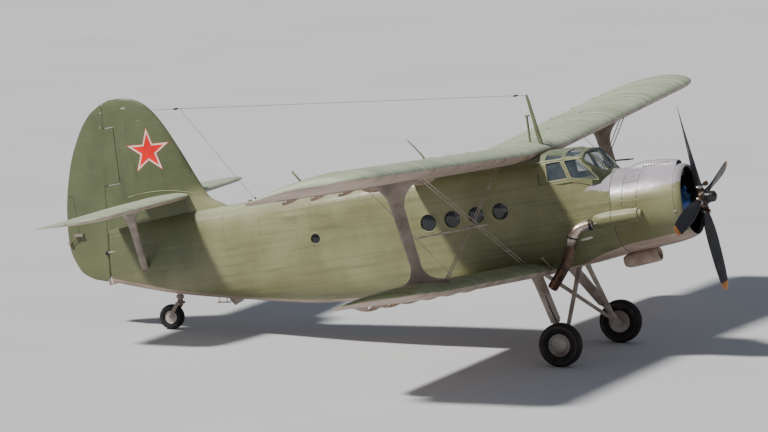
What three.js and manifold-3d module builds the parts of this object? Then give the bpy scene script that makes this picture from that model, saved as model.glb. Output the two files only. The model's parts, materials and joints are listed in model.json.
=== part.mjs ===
// A large single-engine utility biplane, parked on its wheels with the tail down.
// Units are millimetres. The aircraft datum has X forward, Y to port and Z up, and its origin lies
// midway between the main wheels on their axle line. The datum is tilted as a whole at the end, so that
// all three wheels stand on Z = 0.
import * as THREE from 'three';
import { mergeVertices } from 'three/addons/utils/BufferGeometryUtils.js';
import loadManifold from 'manifold-3d';

const wasm = await loadManifold();
wasm.setup();

// Driving dimensions
const gap = 0.3;
const runningGap = 6;
const degrees = THREE.MathUtils.degToRad;

const thrustZ = 2111;
const propeller = { x: 2573, tip: 1800, root: 205, turn: 0.246, bladeCount: 4 };
const cowlRear = 1081;
const firewallX = 1080;

const upper = {
  x: -165, z: 3450, chord: 2450, rootY: 1050, tipY: 9088,
  incidence: degrees(3), dihedral: degrees(3.2), thickness: 0.14,
};
const lower = {
  x: -200, z: 1285, chord: 2000, rootY: 600, tipY: 7118,
  incidence: degrees(1), dihedral: degrees(3.2), thickness: 0.14,
};
const strutY = 5580;

const mainWheel = { y: 1680, radius: 400, width: 260, rim: 205 };
const tailWheel = { x: -8160, z: 1517, radius: 235, width: 200, rim: 120 };
const wheelLine = Math.hypot(tailWheel.x, tailWheel.z);
const groundAngle = Math.atan2(tailWheel.z, -tailWheel.x)
  + Math.asin((mainWheel.radius - tailWheel.radius) / wheelLine);

const rudderHinge = { bottom: [-9273, 2371], top: [-8790, 5630] };
const elevatorX = -8340;
const tailplane = { rootY: 90, tipY: 3600, z: 3715, lead: -7330, tipLead: -7640, trail: -9035 };

const porthole = { z: 2515, radius: 165, front: -985, pitch: -473, count: 4 };
const wall = 60;
const floorZ = 1400;
const ceilingZ = 3190;
const sillZ = 2870;
const cargoDoor = { rear: -4550, front: -2950, bottom: 1440, top: 2970, hinge: { y: 884, z: 2978 } };
const cabinDoor = { rear: -3860, front: -3040, bottom: 1510, top: 2870, hinge: { y: 700 } };

// Materials
const paint = (color, roughness = 0.55, metalness = 0.1) =>
  new THREE.MeshStandardMaterial({ color, roughness, metalness });
const olive = paint(0x8f8f63);
const oliveTop = paint(0x9aa088);
const fabricGrey = paint(0xa79f97, 0.7, 0);
const strutGrey = paint(0x8d8783);
const cowlGrey = paint(0xa9a6ad, 0.5, 0.3);
const burntMetal = paint(0x8c7563, 0.45, 0.8);
const bladeBlack = paint(0x16161a, 0.4, 0.2);
const rubber = paint(0x1c1c1c, 0.9, 0);
const engineBlack = paint(0x222326, 0.6, 0.4);
const interiorGrey = paint(0x6f7672, 0.8, 0);
const seatCloth = paint(0x4a4f3c, 0.8, 0);
const glass = new THREE.MeshStandardMaterial({
  color: 0x9fb4b8, roughness: 0.05, metalness: 0, transparent: true, opacity: 0.35,
});

// Closed skins and solids
const signedVolume = (positions, triangles) => {
  let volume = 0;
  const [a, b, c] = [new THREE.Vector3(), new THREE.Vector3(), new THREE.Vector3()];
  for (let i = 0; i < triangles.length; i += 3) {
    a.fromArray(positions, triangles[i] * 3);
    b.fromArray(positions, triangles[i + 1] * 3);
    c.fromArray(positions, triangles[i + 2] * 3);
    volume += a.dot(b.cross(c)) / 6;
  }
  return volume;
};

const solidOf = (geometry) => {
  const bare = geometry.clone();
  bare.deleteAttribute('normal');
  bare.deleteAttribute('uv');
  const merged = mergeVertices(bare, 1e-3);
  const vertProperties = new Float32Array(merged.attributes.position.array);
  const triVerts = new Uint32Array(merged.index.array);
  if (signedVolume(vertProperties, triVerts) < 0) triVerts.reverse();
  return new wasm.Manifold(new wasm.Mesh({ numProp: 3, vertProperties, triVerts }));
};

const geometryOf = (solid) => {
  const { vertProperties, triVerts } = solid.getMesh();
  const geometry = new THREE.BufferGeometry();
  geometry.setAttribute('position', new THREE.BufferAttribute(new Float32Array(vertProperties), 3));
  geometry.setIndex(new THREE.BufferAttribute(new Uint32Array(triVerts), 1));
  geometry.computeVertexNormals();
  return geometry;
};

// The flat end of a loft: the ring is flattened along its normal's largest axis and filled.
const endFaces = (ring, forward) => {
  const normal = new THREE.Vector3();
  ring.forEach((point, i) => {
    const next = ring[(i + 1) % ring.length];
    normal.add(new THREE.Vector3().crossVectors(point, next));
  });
  const [x, y, z] = normal.toArray().map(Math.abs);
  const flatten = x >= y && x >= z ? (p) => new THREE.Vector2(p.y, p.z)
    : y >= z ? (p) => new THREE.Vector2(p.x, p.z)
      : (p) => new THREE.Vector2(p.x, p.y);
  const faces = THREE.ShapeUtils.triangulateShape(ring.map(flatten), []);
  const follows = ([a, b, c]) => [[a, b], [b, c], [c, a]].some(([i, j]) => i === 0 && j === 1);
  const runsForward = faces.some(follows);
  return runsForward === forward ? faces : faces.map(([a, b, c]) => [a, c, b]);
};

// Rings with equal numbers of points become one closed skin.
const loft = (rings) => {
  const count = rings[0].length;
  const positions = rings.flat().flatMap((point) => point.toArray());
  const triangles = [];
  for (let r = 0; r < rings.length - 1; r += 1) {
    for (let i = 0; i < count; i += 1) {
      const a = r * count + i;
      const b = r * count + ((i + 1) % count);
      triangles.push(a, b, b + count, a, b + count, a + count);
    }
  }
  const last = (rings.length - 1) * count;
  endFaces(rings[0], false).forEach((face) => triangles.push(...face));
  endFaces(rings.at(-1), true).forEach((face) => triangles.push(...face.map((i) => i + last)));
  const geometry = new THREE.BufferGeometry();
  geometry.setAttribute('position', new THREE.Float32BufferAttribute(positions, 3));
  geometry.setIndex(triangles);
  return solidOf(geometry);
};

const vector = (x, y, z) => new THREE.Vector3(x, y, z);
const box = ([x0, x1], [y0, y1], [z0, z1]) => {
  const geometry = new THREE.BoxGeometry(x1 - x0, y1 - y0, z1 - z0);
  return solidOf(geometry).translate([(x0 + x1) / 2, (y0 + y1) / 2, (z0 + z1) / 2]);
};

// A straight bar with an elliptical section. On an upright bar, 'width' lies fore and aft and 'depth'
// across; on one that runs fore and aft, 'width' stands upright.
const ellipseRing = (centre, widthAxis, depthAxis, width, depth, sides = 16) =>
  Array.from({ length: sides }, (_, i) => {
    const angle = (i * 2 * Math.PI) / sides;
    return centre.clone()
      .addScaledVector(widthAxis, (Math.cos(angle) * width) / 2)
      .addScaledVector(depthAxis, (Math.sin(angle) * depth) / 2);
  });
const bar = (from, to, width, depth = width, sides = 12, endScale = 1) => {
  const direction = to.clone().sub(from).normalize();
  const guide = Math.abs(direction.x) > 0.8 ? vector(0, 0, 1) : vector(1, 0, 0);
  const depthAxis = direction.clone().cross(guide).normalize();
  const widthAxis = depthAxis.clone().cross(direction).normalize();
  return loft([
    ellipseRing(from, widthAxis, depthAxis, width, depth, sides),
    ellipseRing(to, widthAxis, depthAxis, width * endScale, depth * endScale, sides),
  ]);
};

// An outline in the X-Z plane, given as a THREE.Shape, made 'y0' to 'y1' thick.
const plateXZ = (shape, y0, y1, segments = 8) => {
  const geometry = new THREE.ExtrudeGeometry(shape, {
    depth: y1 - y0, bevelEnabled: false, curveSegments: segments, steps: 1,
  });
  geometry.rotateX(Math.PI / 2);
  geometry.translate(0, y1, 0);
  return solidOf(geometry);
};
const polygon = (points) => new THREE.Shape(points.map(([x, y]) => new THREE.Vector2(x, y)));

// A body of revolution about an axis: rows are distance along the axis and radius.
const turned = (rows, axis, segments = 32) => {
  const geometry = new THREE.LatheGeometry(rows.map(([d, r]) => new THREE.Vector2(r, d)), segments);
  if (axis === 'x') geometry.rotateZ(-Math.PI / 2);
  if (axis === 'z') geometry.rotateX(Math.PI / 2);
  return solidOf(geometry);
};
const closed = (rows) => [...rows, rows[0]];

const joined = (...solids) => solids.reduce((sum, solid) => sum.add(solid));
const largest = (solid) => solid.decompose().reduce((a, b) => (a.volume() > b.volume() ? a : b));

// A piece cut back so that it stops just short of its neighbours.
const shifts = [[1, 0, 0], [-1, 0, 0], [0, 1, 0], [0, -1, 0], [0, 0, 1], [0, 0, -1]];
const clearOf = (piece, ...neighbours) => largest(neighbours.reduce((rest, neighbour) =>
  shifts.reduce((left, shift) =>
    left.subtract(neighbour.translate(shift.map((s) => s * gap))), rest), piece));

const mirrorY = (solid) => solid.mirror([0, 1, 0]);
const bothSides = (solid) => solid.add(mirrorY(solid));

// Scene graph
const aircraft = new THREE.Group();
const addMesh = (parent, name, solid, material, pivot = vector(0, 0, 0)) => {
  const geometry = geometryOf(solid.translate(pivot.clone().negate().toArray()));
  const mesh = new THREE.Mesh(geometry, material);
  mesh.name = name;
  mesh.position.copy(pivot);
  parent.add(mesh);
  return mesh;
};
const sides = [{ name: 'left', sign: 1 }, { name: 'right', sign: -1 }];
const onSide = (solid, side) => (side.sign > 0 ? solid : mirrorY(solid));
const addPair = (name, solid, material) => sides.forEach((side) =>
  addMesh(aircraft, `${name}_${side.name}`, onSide(solid, side), material));

// Fuselage: columns are x, half width, bottom, top and squareness of the section
const fuselageRows = [
  [1080, 775, 1332, 2886, 2.0],
  [800, 812, 1296, 3000, 2.4],
  [450, 850, 1262, 3300, 3.2],
  [-160, 875, 1228, 3405, 4.4],
  [-1400, 880, 1225, 3410, 5.0],
  [-3400, 880, 1240, 3415, 5.0],
  [-4700, 815, 1318, 3415, 4.4],
  [-5050, 775, 1352, 3412, 4.0],
  [-6600, 520, 1632, 3405, 3.0],
  [-8000, 270, 1945, 3395, 2.6],
  [-9330, 60, 2370, 3380, 2.2],
];
const sectionRing = (x, halfWidth, bottom, top, squareness, points) =>
  Array.from({ length: points }, (_, i) => {
    const angle = ((i + 0.5) * 2 * Math.PI) / points;
    const round = (value) => Math.sign(value) * Math.abs(value) ** (2 / squareness);
    const height = (top - bottom) / 2;
    return vector(x, halfWidth * round(Math.cos(angle)), bottom + height + height * round(Math.sin(angle)));
  });
const fuselageLoft = (rows, swell = 0, points = 28) => loft(rows.map(([x, half, bottom, top, squareness]) =>
  sectionRing(x, half + swell, bottom - swell, top + swell, squareness, points)));
const fuselageSkin = bothSides(fuselageLoft(fuselageRows, gap));
const cabinRows = fuselageRows.slice(0, 8);
const tailRows = fuselageRows.slice(7);

// Aerofoil with a nearly flat underside: fractions of the chord, from the trailing edge over the top.
const aerofoilStations = [1, 0.86, 0.68, 0.5, 0.34, 0.2, 0.1, 0.035, 0.006];
const halfThickness = (s) => 5 * (0.2969 * Math.sqrt(s) - 0.126 * s - 0.3516 * s ** 2
  + 0.2843 * s ** 3 - 0.1015 * s ** 4);
const camberPeak = { height: 0.035, at: 0.4 };
const camber = (s) => {
  const { height, at } = camberPeak;
  return s < at ? (height / at ** 2) * (2 * at * s - s ** 2)
    : (height / (1 - at) ** 2) * (1 - 2 * at + 2 * at * s - s ** 2);
};
const aerofoil = (thickness, cambered) => {
  const line = (s) => (cambered ? camber(s) : 0);
  const top = aerofoilStations.map((s) => [s, line(s) + thickness * halfThickness(s)]);
  const bottom = [...aerofoilStations].reverse()
    .map((s) => [s, line(s) - thickness * halfThickness(s)]);
  return [...top, [0, 0], ...bottom];
};
// Span stations: columns are y, leading edge x, trailing edge x, thickness fraction, height z
const spanLoft = (rows, cambered = true) => loft(rows.map(([y, lead, trail, thickness, z]) =>
  aerofoil(thickness, cambered).map(([s, h]) =>
    vector(lead + s * (trail - lead), y, z + h * (lead - trail)))));

// Wings, each built in its own panel frame: X forward from the leading edge, Y out along the span
const panelRows = (wing) => {
  const span = (wing.tipY - wing.rootY) / Math.cos(wing.dihedral);
  const { chord, thickness } = wing;
  return [
    [-40, 0, -chord, thickness, 0],
    [span - 620, 0, -chord, thickness, 0],
    [span - 330, -chord * 0.025, -chord * 0.995, thickness * 0.92, chord * 0.006],
    [span - 120, -chord * 0.1, -chord * 0.97, thickness * 0.7, chord * 0.014],
    [span - 25, -chord * 0.2, -chord * 0.92, thickness * 0.4, chord * 0.02],
    [span, -chord * 0.3, -chord * 0.86, thickness * 0.2, chord * 0.022],
  ];
};
const far = 20000;
const band = ([x0, x1], [y0, y1]) => box([x0, x1], [y0, y1], [-far, far]);
const noseBar = (x, z, radius, y0, y1) => bar(vector(x, y0, z), vector(x, y1, z), radius * 2, radius * 2,
  16);

const slat = { depth: 250, y0: 200, y1: 7560, droop: degrees(25), tracks: 4 };
const slatTrack = { start: [-290, 75], length: 200, halfHeight: 12, halfWidth: 14 };
const aileron = {
  hingeX: -1850, hingeZ: 30, y0: 3720, y1: 7600, noseRadius: 78, hinges: [4850, 6150, 7450],
};
const aileronArm = { front: -1500, rear: -1856, low: -118, high: -66, halfWidth: 14 };
const upperFlap = { hingeX: -1850, y0: 200, y1: 3690, drop: 75 };
const lowerFlap = { hingeX: -1450, y0: 520, y1: 6250, drop: 65 };
const underside = (wing, x) => {
  const s = -x / wing.chord;
  return wing.chord * (camber(s) - wing.thickness * halfThickness(s));
};

// A slotted flap turns about a line below its nose. Each bracket under the wing and each horn under the
// flap end in a round boss on that line, side by side.
const flapHinge = { width: 30, bossRadius: 22 };
const hingeBoss = (x, z, y0, y1) =>
  bar(vector(x, y0, z), vector(x, y1, z), flapHinge.bossRadius * 2, flapHinge.bossRadius * 2, 6);
const flapBracket = (wing, flap, y) => {
  const top = underside(wing, flap.hingeX + 260) + 20;
  const low = underside(wing, flap.hingeX) - flap.drop;
  const arm = new THREE.Shape();
  arm.moveTo(flap.hingeX + 300, top);
  arm.quadraticCurveTo(flap.hingeX + 200, low - 25, flap.hingeX, low - 22);
  arm.lineTo(flap.hingeX - 8, low + 12);
  arm.lineTo(flap.hingeX + 60, top);
  const boss = hingeBoss(flap.hingeX, low, y - flapHinge.width, y);
  return plateXZ(arm, y - flapHinge.width, y, 3).add(boss);
};
const flapHorn = (wing, flap, y) => {
  const low = underside(wing, flap.hingeX) - flap.drop;
  const reach = flap.hingeX - 300;
  const horn = new THREE.Shape();
  horn.moveTo(flap.hingeX - 5, low - 20);
  horn.quadraticCurveTo(flap.hingeX - 150, low - 15, reach, underside(wing, reach) + 15);
  horn.lineTo(flap.hingeX - 30, underside(wing, flap.hingeX - 30) + 25);
  horn.lineTo(flap.hingeX - 5, low + 18);
  const boss = hingeBoss(flap.hingeX, low, y + gap, y + flapHinge.width);
  return plateXZ(horn, y + gap, y + flapHinge.width, 3).add(boss);
};
const evenly = (from, to, count) => Array.from({ length: count }, (_, i) =>
  from + ((to - from) * (i + 0.5)) / count);

const panelGroup = (wing, side) => {
  const group = new THREE.Group();
  group.position.set(wing.x, side.sign * wing.rootY, wing.z);
  group.rotation.set(side.sign * wing.dihedral, -wing.incidence, 0);
  aircraft.add(group);
  return group;
};
// The same placing for a solid, so that neighbours outside the panel's group can be cut by it.
const inDatum = (wing, solid) => solid
  .rotate([0, -THREE.MathUtils.radToDeg(wing.incidence), 0])
  .rotate([THREE.MathUtils.radToDeg(wing.dihedral), 0, 0])
  .translate([wing.x, wing.rootY, wing.z]);

const cutFlap = (panel, wing, flap, count) => {
  const hingeZ = underside(wing, flap.hingeX) - flap.drop;
  const front = flap.hingeX - 10;
  const stations = evenly(flap.y0, flap.y1, count);
  const zone = band([-far, front], [flap.y0, flap.y1]);
  const inner = band([-far, front - runningGap], [flap.y0 + runningGap, flap.y1 - runningGap]);
  const horns = stations.map((y) => flapHorn(wing, flap, y));
  const brackets = stations.map((y) => flapBracket(wing, flap, y));
  return {
    fixed: joined(panel.subtract(zone), ...brackets),
    moving: joined(panel.intersect(inner), ...horns),
    pivot: vector(flap.hingeX, (flap.y0 + flap.y1) / 2, hingeZ),
  };
};
// A surface with a round nose, such as an aileron or an elevator, turns about the nose's own centre on
// pins, which lugs from the fixed panel hold in slots of the nose.
const surfaceHinge = { slot: 18, slotDepth: 30, lugHalf: 9, pinRadius: 16 };
const cutRoundNosed = (panel, surface) => {
  const { hingeX, hingeZ, noseRadius, y0, y1, hinges } = surface;
  const coveX = hingeX + noseRadius + runningGap;
  const zone = band([-far, coveX], [y0, y1]);
  const inner = band([-far, hingeX], [y0 + runningGap, y1 - runningGap]);
  const nose = noseBar(hingeX, hingeZ, noseRadius, y0 + runningGap, y1 - runningGap);
  const { slot, lugHalf, pinRadius } = surfaceHinge;
  const lugs = hinges.map((y) => joined(
    box([hingeX, coveX + 4], [y - lugHalf, y + lugHalf], [hingeZ - pinRadius, hingeZ + pinRadius]),
    bar(vector(hingeX, y - slot + gap, hingeZ), vector(hingeX, y + slot - gap, hingeZ),
      pinRadius * 2, pinRadius * 2, 6),
  ));
  const slots = hinges.map((y) => band([hingeX - surfaceHinge.slotDepth, far], [y - slot, y + slot]));
  return {
    fixed: joined(panel.subtract(zone), ...lugs),
    moving: slots.reduce((rest, cut) => rest.subtract(cut), panel.intersect(inner).add(nose)),
    pivot: vector(hingeX, (y0 + y1) / 2, hingeZ),
  };
};

// A curved arm under the wing at each of the aileron's hinges, clear of the aileron's nose
const armUnderWing = (y) => {
  const { front, rear, low, high, halfWidth } = aileronArm;
  const bayX = aileron.hingeX + aileron.noseRadius + runningGap * 2;
  const lap = 15;
  const outline = new THREE.Shape();
  outline.moveTo(front, underside(upper, front) + lap);
  outline.quadraticCurveTo(front - 110, low, rear, low);
  outline.lineTo(rear, high);
  outline.lineTo(bayX, high);
  outline.lineTo(bayX, underside(upper, bayX) + lap);
  return plateXZ(outline, y - halfWidth, y + halfWidth, 5);
};

// A solid in the datum, brought into a wing panel's own frame
const toPanel = (wing, solid) => solid
  .translate([-wing.x, -wing.rootY, -wing.z])
  .rotate([-THREE.MathUtils.radToDeg(wing.dihedral), 0, 0])
  .rotate([0, THREE.MathUtils.radToDeg(wing.incidence), 0]);
const inboard = box([-far, far], [-far, upper.rootY], [-far, far]);
const upperPanel = spanLoft(panelRows(upper)).subtract(toPanel(upper, inboard));
const slatZone = band([-slat.depth, far], [slat.y0, slat.y1]);
const slatInner = band([-slat.depth + runningGap, far], [slat.y0 + runningGap, slat.y1 - runningGap]);
// The slat slides forward and down along tracks that stand out of the wing's nose.
const trackBar = (y, swell, lengthen) => {
  const { start: [x, z], length, halfHeight, halfWidth } = slatTrack;
  const along = new THREE.Vector2(Math.cos(slat.droop), -Math.sin(slat.droop));
  const across = new THREE.Vector2(Math.sin(slat.droop), Math.cos(slat.droop));
  const corner = (distance, side) => {
    const point = new THREE.Vector2(x, z).addScaledVector(along, distance)
      .addScaledVector(across, side * (halfHeight + swell));
    return [point.x, point.y];
  };
  const [rear, front] = [-lengthen, length + swell];
  return plateXZ(polygon([corner(rear, -1), corner(front, -1), corner(front, 1), corner(rear, 1)]),
    y - halfWidth - swell, y + halfWidth + swell);
};
const trackStations = evenly(slat.y0, slat.y1, slat.tracks);
const slatSolid = trackStations.reduce((rest, y) => rest.subtract(trackBar(y, gap, slat.depth)),
  upperPanel.intersect(slatInner));
const upperWithTracks = joined(upperPanel.subtract(slatZone),
  ...trackStations.map((y) => trackBar(y, 0, 0)));
const upperFlapCut = cutFlap(upperWithTracks, upper, upperFlap, 3);
const aileronCut = cutRoundNosed(upperFlapCut.fixed, aileron);
const upperWing = joined(aileronCut.fixed, ...aileron.hinges.map(armUnderWing));

const lowerPanel = spanLoft(panelRows(lower));
const lowerFlapCut = cutFlap(lowerPanel, lower, lowerFlap, 6);
const lowerWing = clearOf(lowerFlapCut.fixed, toPanel(lower, fuselageSkin));

sides.forEach((side) => {
  const top = panelGroup(upper, side);
  const mirrorPivot = (pivot) => vector(pivot.x, side.sign * pivot.y, pivot.z);
  addMesh(top, `upper_wing_${side.name}`, onSide(upperWing, side), oliveTop);
  addMesh(top, `slat_${side.name}`, onSide(slatSolid, side), oliveTop);
  addMesh(top, `aileron_${side.name}`, onSide(aileronCut.moving, side), fabricGrey,
    mirrorPivot(aileronCut.pivot));
  addMesh(top, `upper_flap_${side.name}`, onSide(upperFlapCut.moving, side), fabricGrey,
    mirrorPivot(upperFlapCut.pivot));
  const low = panelGroup(lower, side);
  addMesh(low, `lower_wing_${side.name}`, onSide(lowerWing, side), oliveTop);
  addMesh(low, `lower_flap_${side.name}`, onSide(lowerFlapCut.moving, side), fabricGrey,
    mirrorPivot(lowerFlapCut.pivot));
});

// The wing's centre section closes the cabin roof between the outer panels.
const centreHalf = upper.rootY - gap * 2;
const centreSection = spanLoft([[-centreHalf, 0, -upper.chord, upper.thickness, 0],
  [centreHalf, 0, -upper.chord, upper.thickness, 0]])
  .rotate([0, -THREE.MathUtils.radToDeg(upper.incidence), 0])
  .translate([upper.x, 0, upper.z]);
addMesh(aircraft, 'upper_centre_section', centreSection, oliveTop);

// Cabin shell: hollow, with portholes, the cockpit cut-out and the port doorway
const hollowLoft = (inset) => loft(cabinRows.map(([x, half, bottom, top, squareness], i) => {
  const ends = { 0: x - inset, [cabinRows.length - 1]: x + inset };
  return sectionRing(ends[i] ?? x, half - inset, bottom + inset, top - inset, squareness, 28);
})).intersect(box([-far, far], [-far, far], [floorZ + inset - wall, ceilingZ - inset + wall]));
const cabinHollow = hollowLoft(wall);
const insideCabin = hollowLoft(wall + gap);
const portholeAt = (x, z, radius) =>
  turned([[-1000, 0], [-1000, radius], [1000, radius], [1000, 0]], 'y', 14).translate([x, 0, z]);
const portholes = Array.from({ length: porthole.count }, (_, i) =>
  portholeAt(porthole.front + i * porthole.pitch, porthole.z, porthole.radius));
const rearPorthole = portholeAt(-4683, 2566, 100);
const doorZone = (door, clearance, frontClearance = clearance) => box(
  [door.rear + clearance, door.front - frontClearance], [500, 1200],
  [door.bottom + clearance, door.top - clearance],
);
const doorWindow = portholeAt(-3330, 2440, 150);
const cockpitCut = box([-160, 985], [-1200, 1200], [sillZ, 4000]);
const cabinWhole = fuselageLoft(cabinRows).subtract(cabinHollow);
const cabinCuts = [...portholes, rearPorthole, cockpitCut, doorZone(cargoDoor, 0)];
const cabinShell = clearOf(cabinCuts.reduce((rest, cut) => rest.subtract(cut), cabinWhole), centreSection);

// The cargo door hangs from knuckles on the doorway's top edge, each beside one of the door's own.
const knuckle = { radius: 10, length: 70, count: 3, reach: 800, drop: 50 };
const knuckleStations = evenly(cargoDoor.rear, cargoDoor.front, knuckle.count);
const { y: topHingeY, z: topHingeZ } = cargoDoor.hinge;
const knuckleBar = (x0, x1) => bar(vector(x0, topHingeY, topHingeZ), vector(x1, topHingeY, topHingeZ),
  knuckle.radius * 2, knuckle.radius * 2, 8);
const frameKnuckles = knuckleStations.map((x) => joined(
  knuckleBar(x - knuckle.length, x),
  box([x - knuckle.length, x], [knuckle.reach, topHingeY], [topHingeZ, topHingeZ + knuckle.radius]),
));
const doorKnuckles = knuckleStations.map((x) => joined(
  knuckleBar(x + gap, x + knuckle.length),
  box([x + gap, x + knuckle.length], [topHingeY - 9, topHingeY + 5], [topHingeZ - knuckle.drop, topHingeZ]),
  box([x + gap, x + knuckle.length], [knuckle.reach, topHingeY + 5],
    [topHingeZ - knuckle.drop, topHingeZ - 18]),
));
// The cabin door opens inward on arms that set its hinge line back from the curved wall.
const arm = { width: 58, height: 30, reach: 825, lap: 11, offset: 12, stations: [1800, 2600] };
const sideHinge = { x: cabinDoor.rear + runningGap, y: cabinDoor.hinge.y };
const besideHinge = (x0, x1, y1, zRange) => box([sideHinge.x + x0, sideHinge.x + x1],
  [sideHinge.y - arm.lap, y1], zRange);
const frameArms = arm.stations.map((z) => joined(
  besideHinge(-arm.width - arm.offset, -arm.offset, arm.reach, [z - arm.height, z]),
  besideHinge(-arm.width - arm.offset, arm.lap, sideHinge.y + arm.lap, [z - arm.height, z]),
));
const doorArms = arm.stations.map((z) => joined(
  besideHinge(0, arm.width, arm.reach, [z + gap, z + arm.height]),
  besideHinge(-arm.lap, arm.width, sideHinge.y + arm.lap, [z + gap, z + arm.height]),
));
const cargoDoorSolid = joined(largest(cabinWhole.intersect(doorZone(cargoDoor, runningGap))
  .subtract(doorZone(cabinDoor, 0))), ...doorKnuckles, ...frameArms);
const cabinDoorSolid = joined(largest(cabinWhole
  .intersect(doorZone(cabinDoor, runningGap, runningGap * 5)).subtract(doorWindow)), ...doorArms);
addMesh(aircraft, 'cabin_shell', joined(cabinShell, ...frameKnuckles), olive);
addMesh(aircraft, 'cargo_door', cargoDoorSolid, olive, vector(
  (cargoDoor.rear + cargoDoor.front) / 2, cargoDoor.hinge.y, cargoDoor.hinge.z,
));
addMesh(aircraft, 'cabin_door', cabinDoorSolid, olive, vector(
  sideHinge.x, sideHinge.y, (cabinDoor.bottom + cabinDoor.top) / 2,
));

// Tail cone, cut off along the rudder's hinge line
const hingeSlope = (rudderHinge.top[0] - rudderHinge.bottom[0])
  / (rudderHinge.top[1] - rudderHinge.bottom[1]);
const hingeAt = (z) => rudderHinge.bottom[0] + hingeSlope * (z - rudderHinge.bottom[1]);
const behindHinge = (offset) => plateXZ(polygon([
  [hingeAt(0) + offset, 0], [hingeAt(7000) + offset, 7000], [-12000, 7000], [-12000, 0],
]), -2000, 2000);
const hingePoint = (z) => vector(hingeAt(z), 0, z);
const rudderNose = { bottomZ: 2425, topZ: 5560, lowRadius: 52, highRadius: 34 };
const pintle = { footZ: 2290, seatZ: 2335, topZ: 2440, radius: 22, lugWidth: 56 };
const noseClear = 60;
const pintleLug = joined(
  bar(hingePoint(pintle.footZ), hingePoint(pintle.seatZ - gap), pintle.lugWidth, pintle.lugWidth, 12),
  plateXZ(polygon([
    [hingeAt(pintle.footZ), pintle.footZ], [hingeAt(pintle.footZ), pintle.seatZ - 20],
    [-9215, pintle.seatZ - 15], [-9190, 2400], [-8960, 2350], [-9150, pintle.footZ],
  ]), -18, 18),
);
const tailCone = fuselageLoft(tailRows.map((row, i) => (i ? row : [row[0] - gap, ...row.slice(1)])))
  .subtract(behindHinge(noseClear)).add(pintleLug);
addMesh(aircraft, 'tail_cone', tailCone, olive);

// Fin and rudder: columns are z, leading edge x, trailing edge x, full thickness
const finRows = [
  [2362, -9000, -9330, 50],
  [2440, -8800, -9570, 80],
  [2640, -8400, -9818, 110],
  [3120, -6450, -9955, 190],
  [3400, -6630, -9938, 215],
  [3600, -6935, -9910, 225],
  [3850, -7067, -9870, 225],
  [4600, -7383, -9648, 200],
  [5200, -7675, -9335, 150],
  [5500, -7900, -9080, 100],
  [5650, -8130, -8830, 60],
  [5715, -8360, -8640, 24],
];
const finWhole = loft(finRows.map(([z, lead, trail, thickness]) => {
  const chord = lead - trail;
  return aerofoil(thickness / chord, false).map(([s, h]) => vector(lead - s * chord, h * chord, z));
}));
// The rudder's horn balance reaches forward of the hinge, further at its foot than at its head.
const balance = { low: 4145, high: 5200, lowReach: 340, highReach: 235, lap: 20, clearance: 20 };
const balanceZone = (clearance) => {
  const [low, high] = [balance.low - clearance, balance.high + clearance];
  return plateXZ(polygon([
    [hingeAt(low) - balance.lap, low], [hingeAt(low) + balance.lowReach + clearance, low],
    [hingeAt(high) + balance.highReach + clearance, high], [hingeAt(high) - balance.lap, high],
  ]), -2000, 2000);
};
const rudderNoseBar = bar(hingePoint(rudderNose.bottomZ), hingePoint(rudderNose.topZ),
  rudderNose.lowRadius * 2, rudderNose.lowRadius * 2, 16, rudderNose.highRadius / rudderNose.lowRadius);
const rudder = largest(joined(
  finWhole.intersect(behindHinge(0)),
  finWhole.intersect(balanceZone(0)),
  rudderNoseBar,
  bar(hingePoint(pintle.seatZ), hingePoint(pintle.topZ), pintle.radius * 2, pintle.radius * 2, 12),
));
const rudderPivot = hingePoint(4000);
const finFoot = 3250;
const fin = clearOf(finWhole.subtract(behindHinge(noseClear)).subtract(balanceZone(balance.clearance))
  .intersect(box([-far, far], [-far, far], [finFoot, far])), tailCone);
addMesh(aircraft, 'fin', fin, olive);
addMesh(aircraft, 'rudder', rudder, fabricGrey, rudderPivot);

// Tailplane halves with their elevators
const tailplaneRows = [
  [tailplane.rootY, tailplane.lead, tailplane.trail, 0.1, tailplane.z],
  [tailplane.tipY - 520, tailplane.tipLead + 60, tailplane.trail, 0.095, tailplane.z],
  [tailplane.tipY - 220, tailplane.tipLead - 30, tailplane.trail + 12, 0.08, tailplane.z],
  [tailplane.tipY - 50, tailplane.tipLead - 180, tailplane.trail + 90, 0.06, tailplane.z],
  [tailplane.tipY, tailplane.tipLead - 340, tailplane.trail + 220, 0.03, tailplane.z],
];
const tailplaneWhole = spanLoft(tailplaneRows, false);
const elevator = {
  hingeX: elevatorX, hingeZ: tailplane.z, y0: 300, y1: 3440, noseRadius: 56, hinges: evenly(300, 3440, 3),
};
const elevatorCut = cutRoundNosed(tailplaneWhole, elevator);
const elevatorFront = elevatorX + elevator.noseRadius + runningGap;
const elevatorTip = band([-far, elevatorFront], [elevator.y1 - 10, far]);
const rootNotch = band([-far, elevatorFront], [-far, elevator.y0 + 1]);
const tailplaneHalf = clearOf(elevatorCut.fixed.subtract(elevatorTip).subtract(rootNotch),
  bothSides(fin), bothSides(tailCone));
addPair('tailplane', tailplaneHalf, olive);
sides.forEach((side) => addMesh(aircraft, `elevator_${side.name}`, onSide(elevatorCut.moving, side),
  fabricGrey, vector(elevatorX, side.sign * elevatorCut.pivot.y, tailplane.z)));

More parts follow.
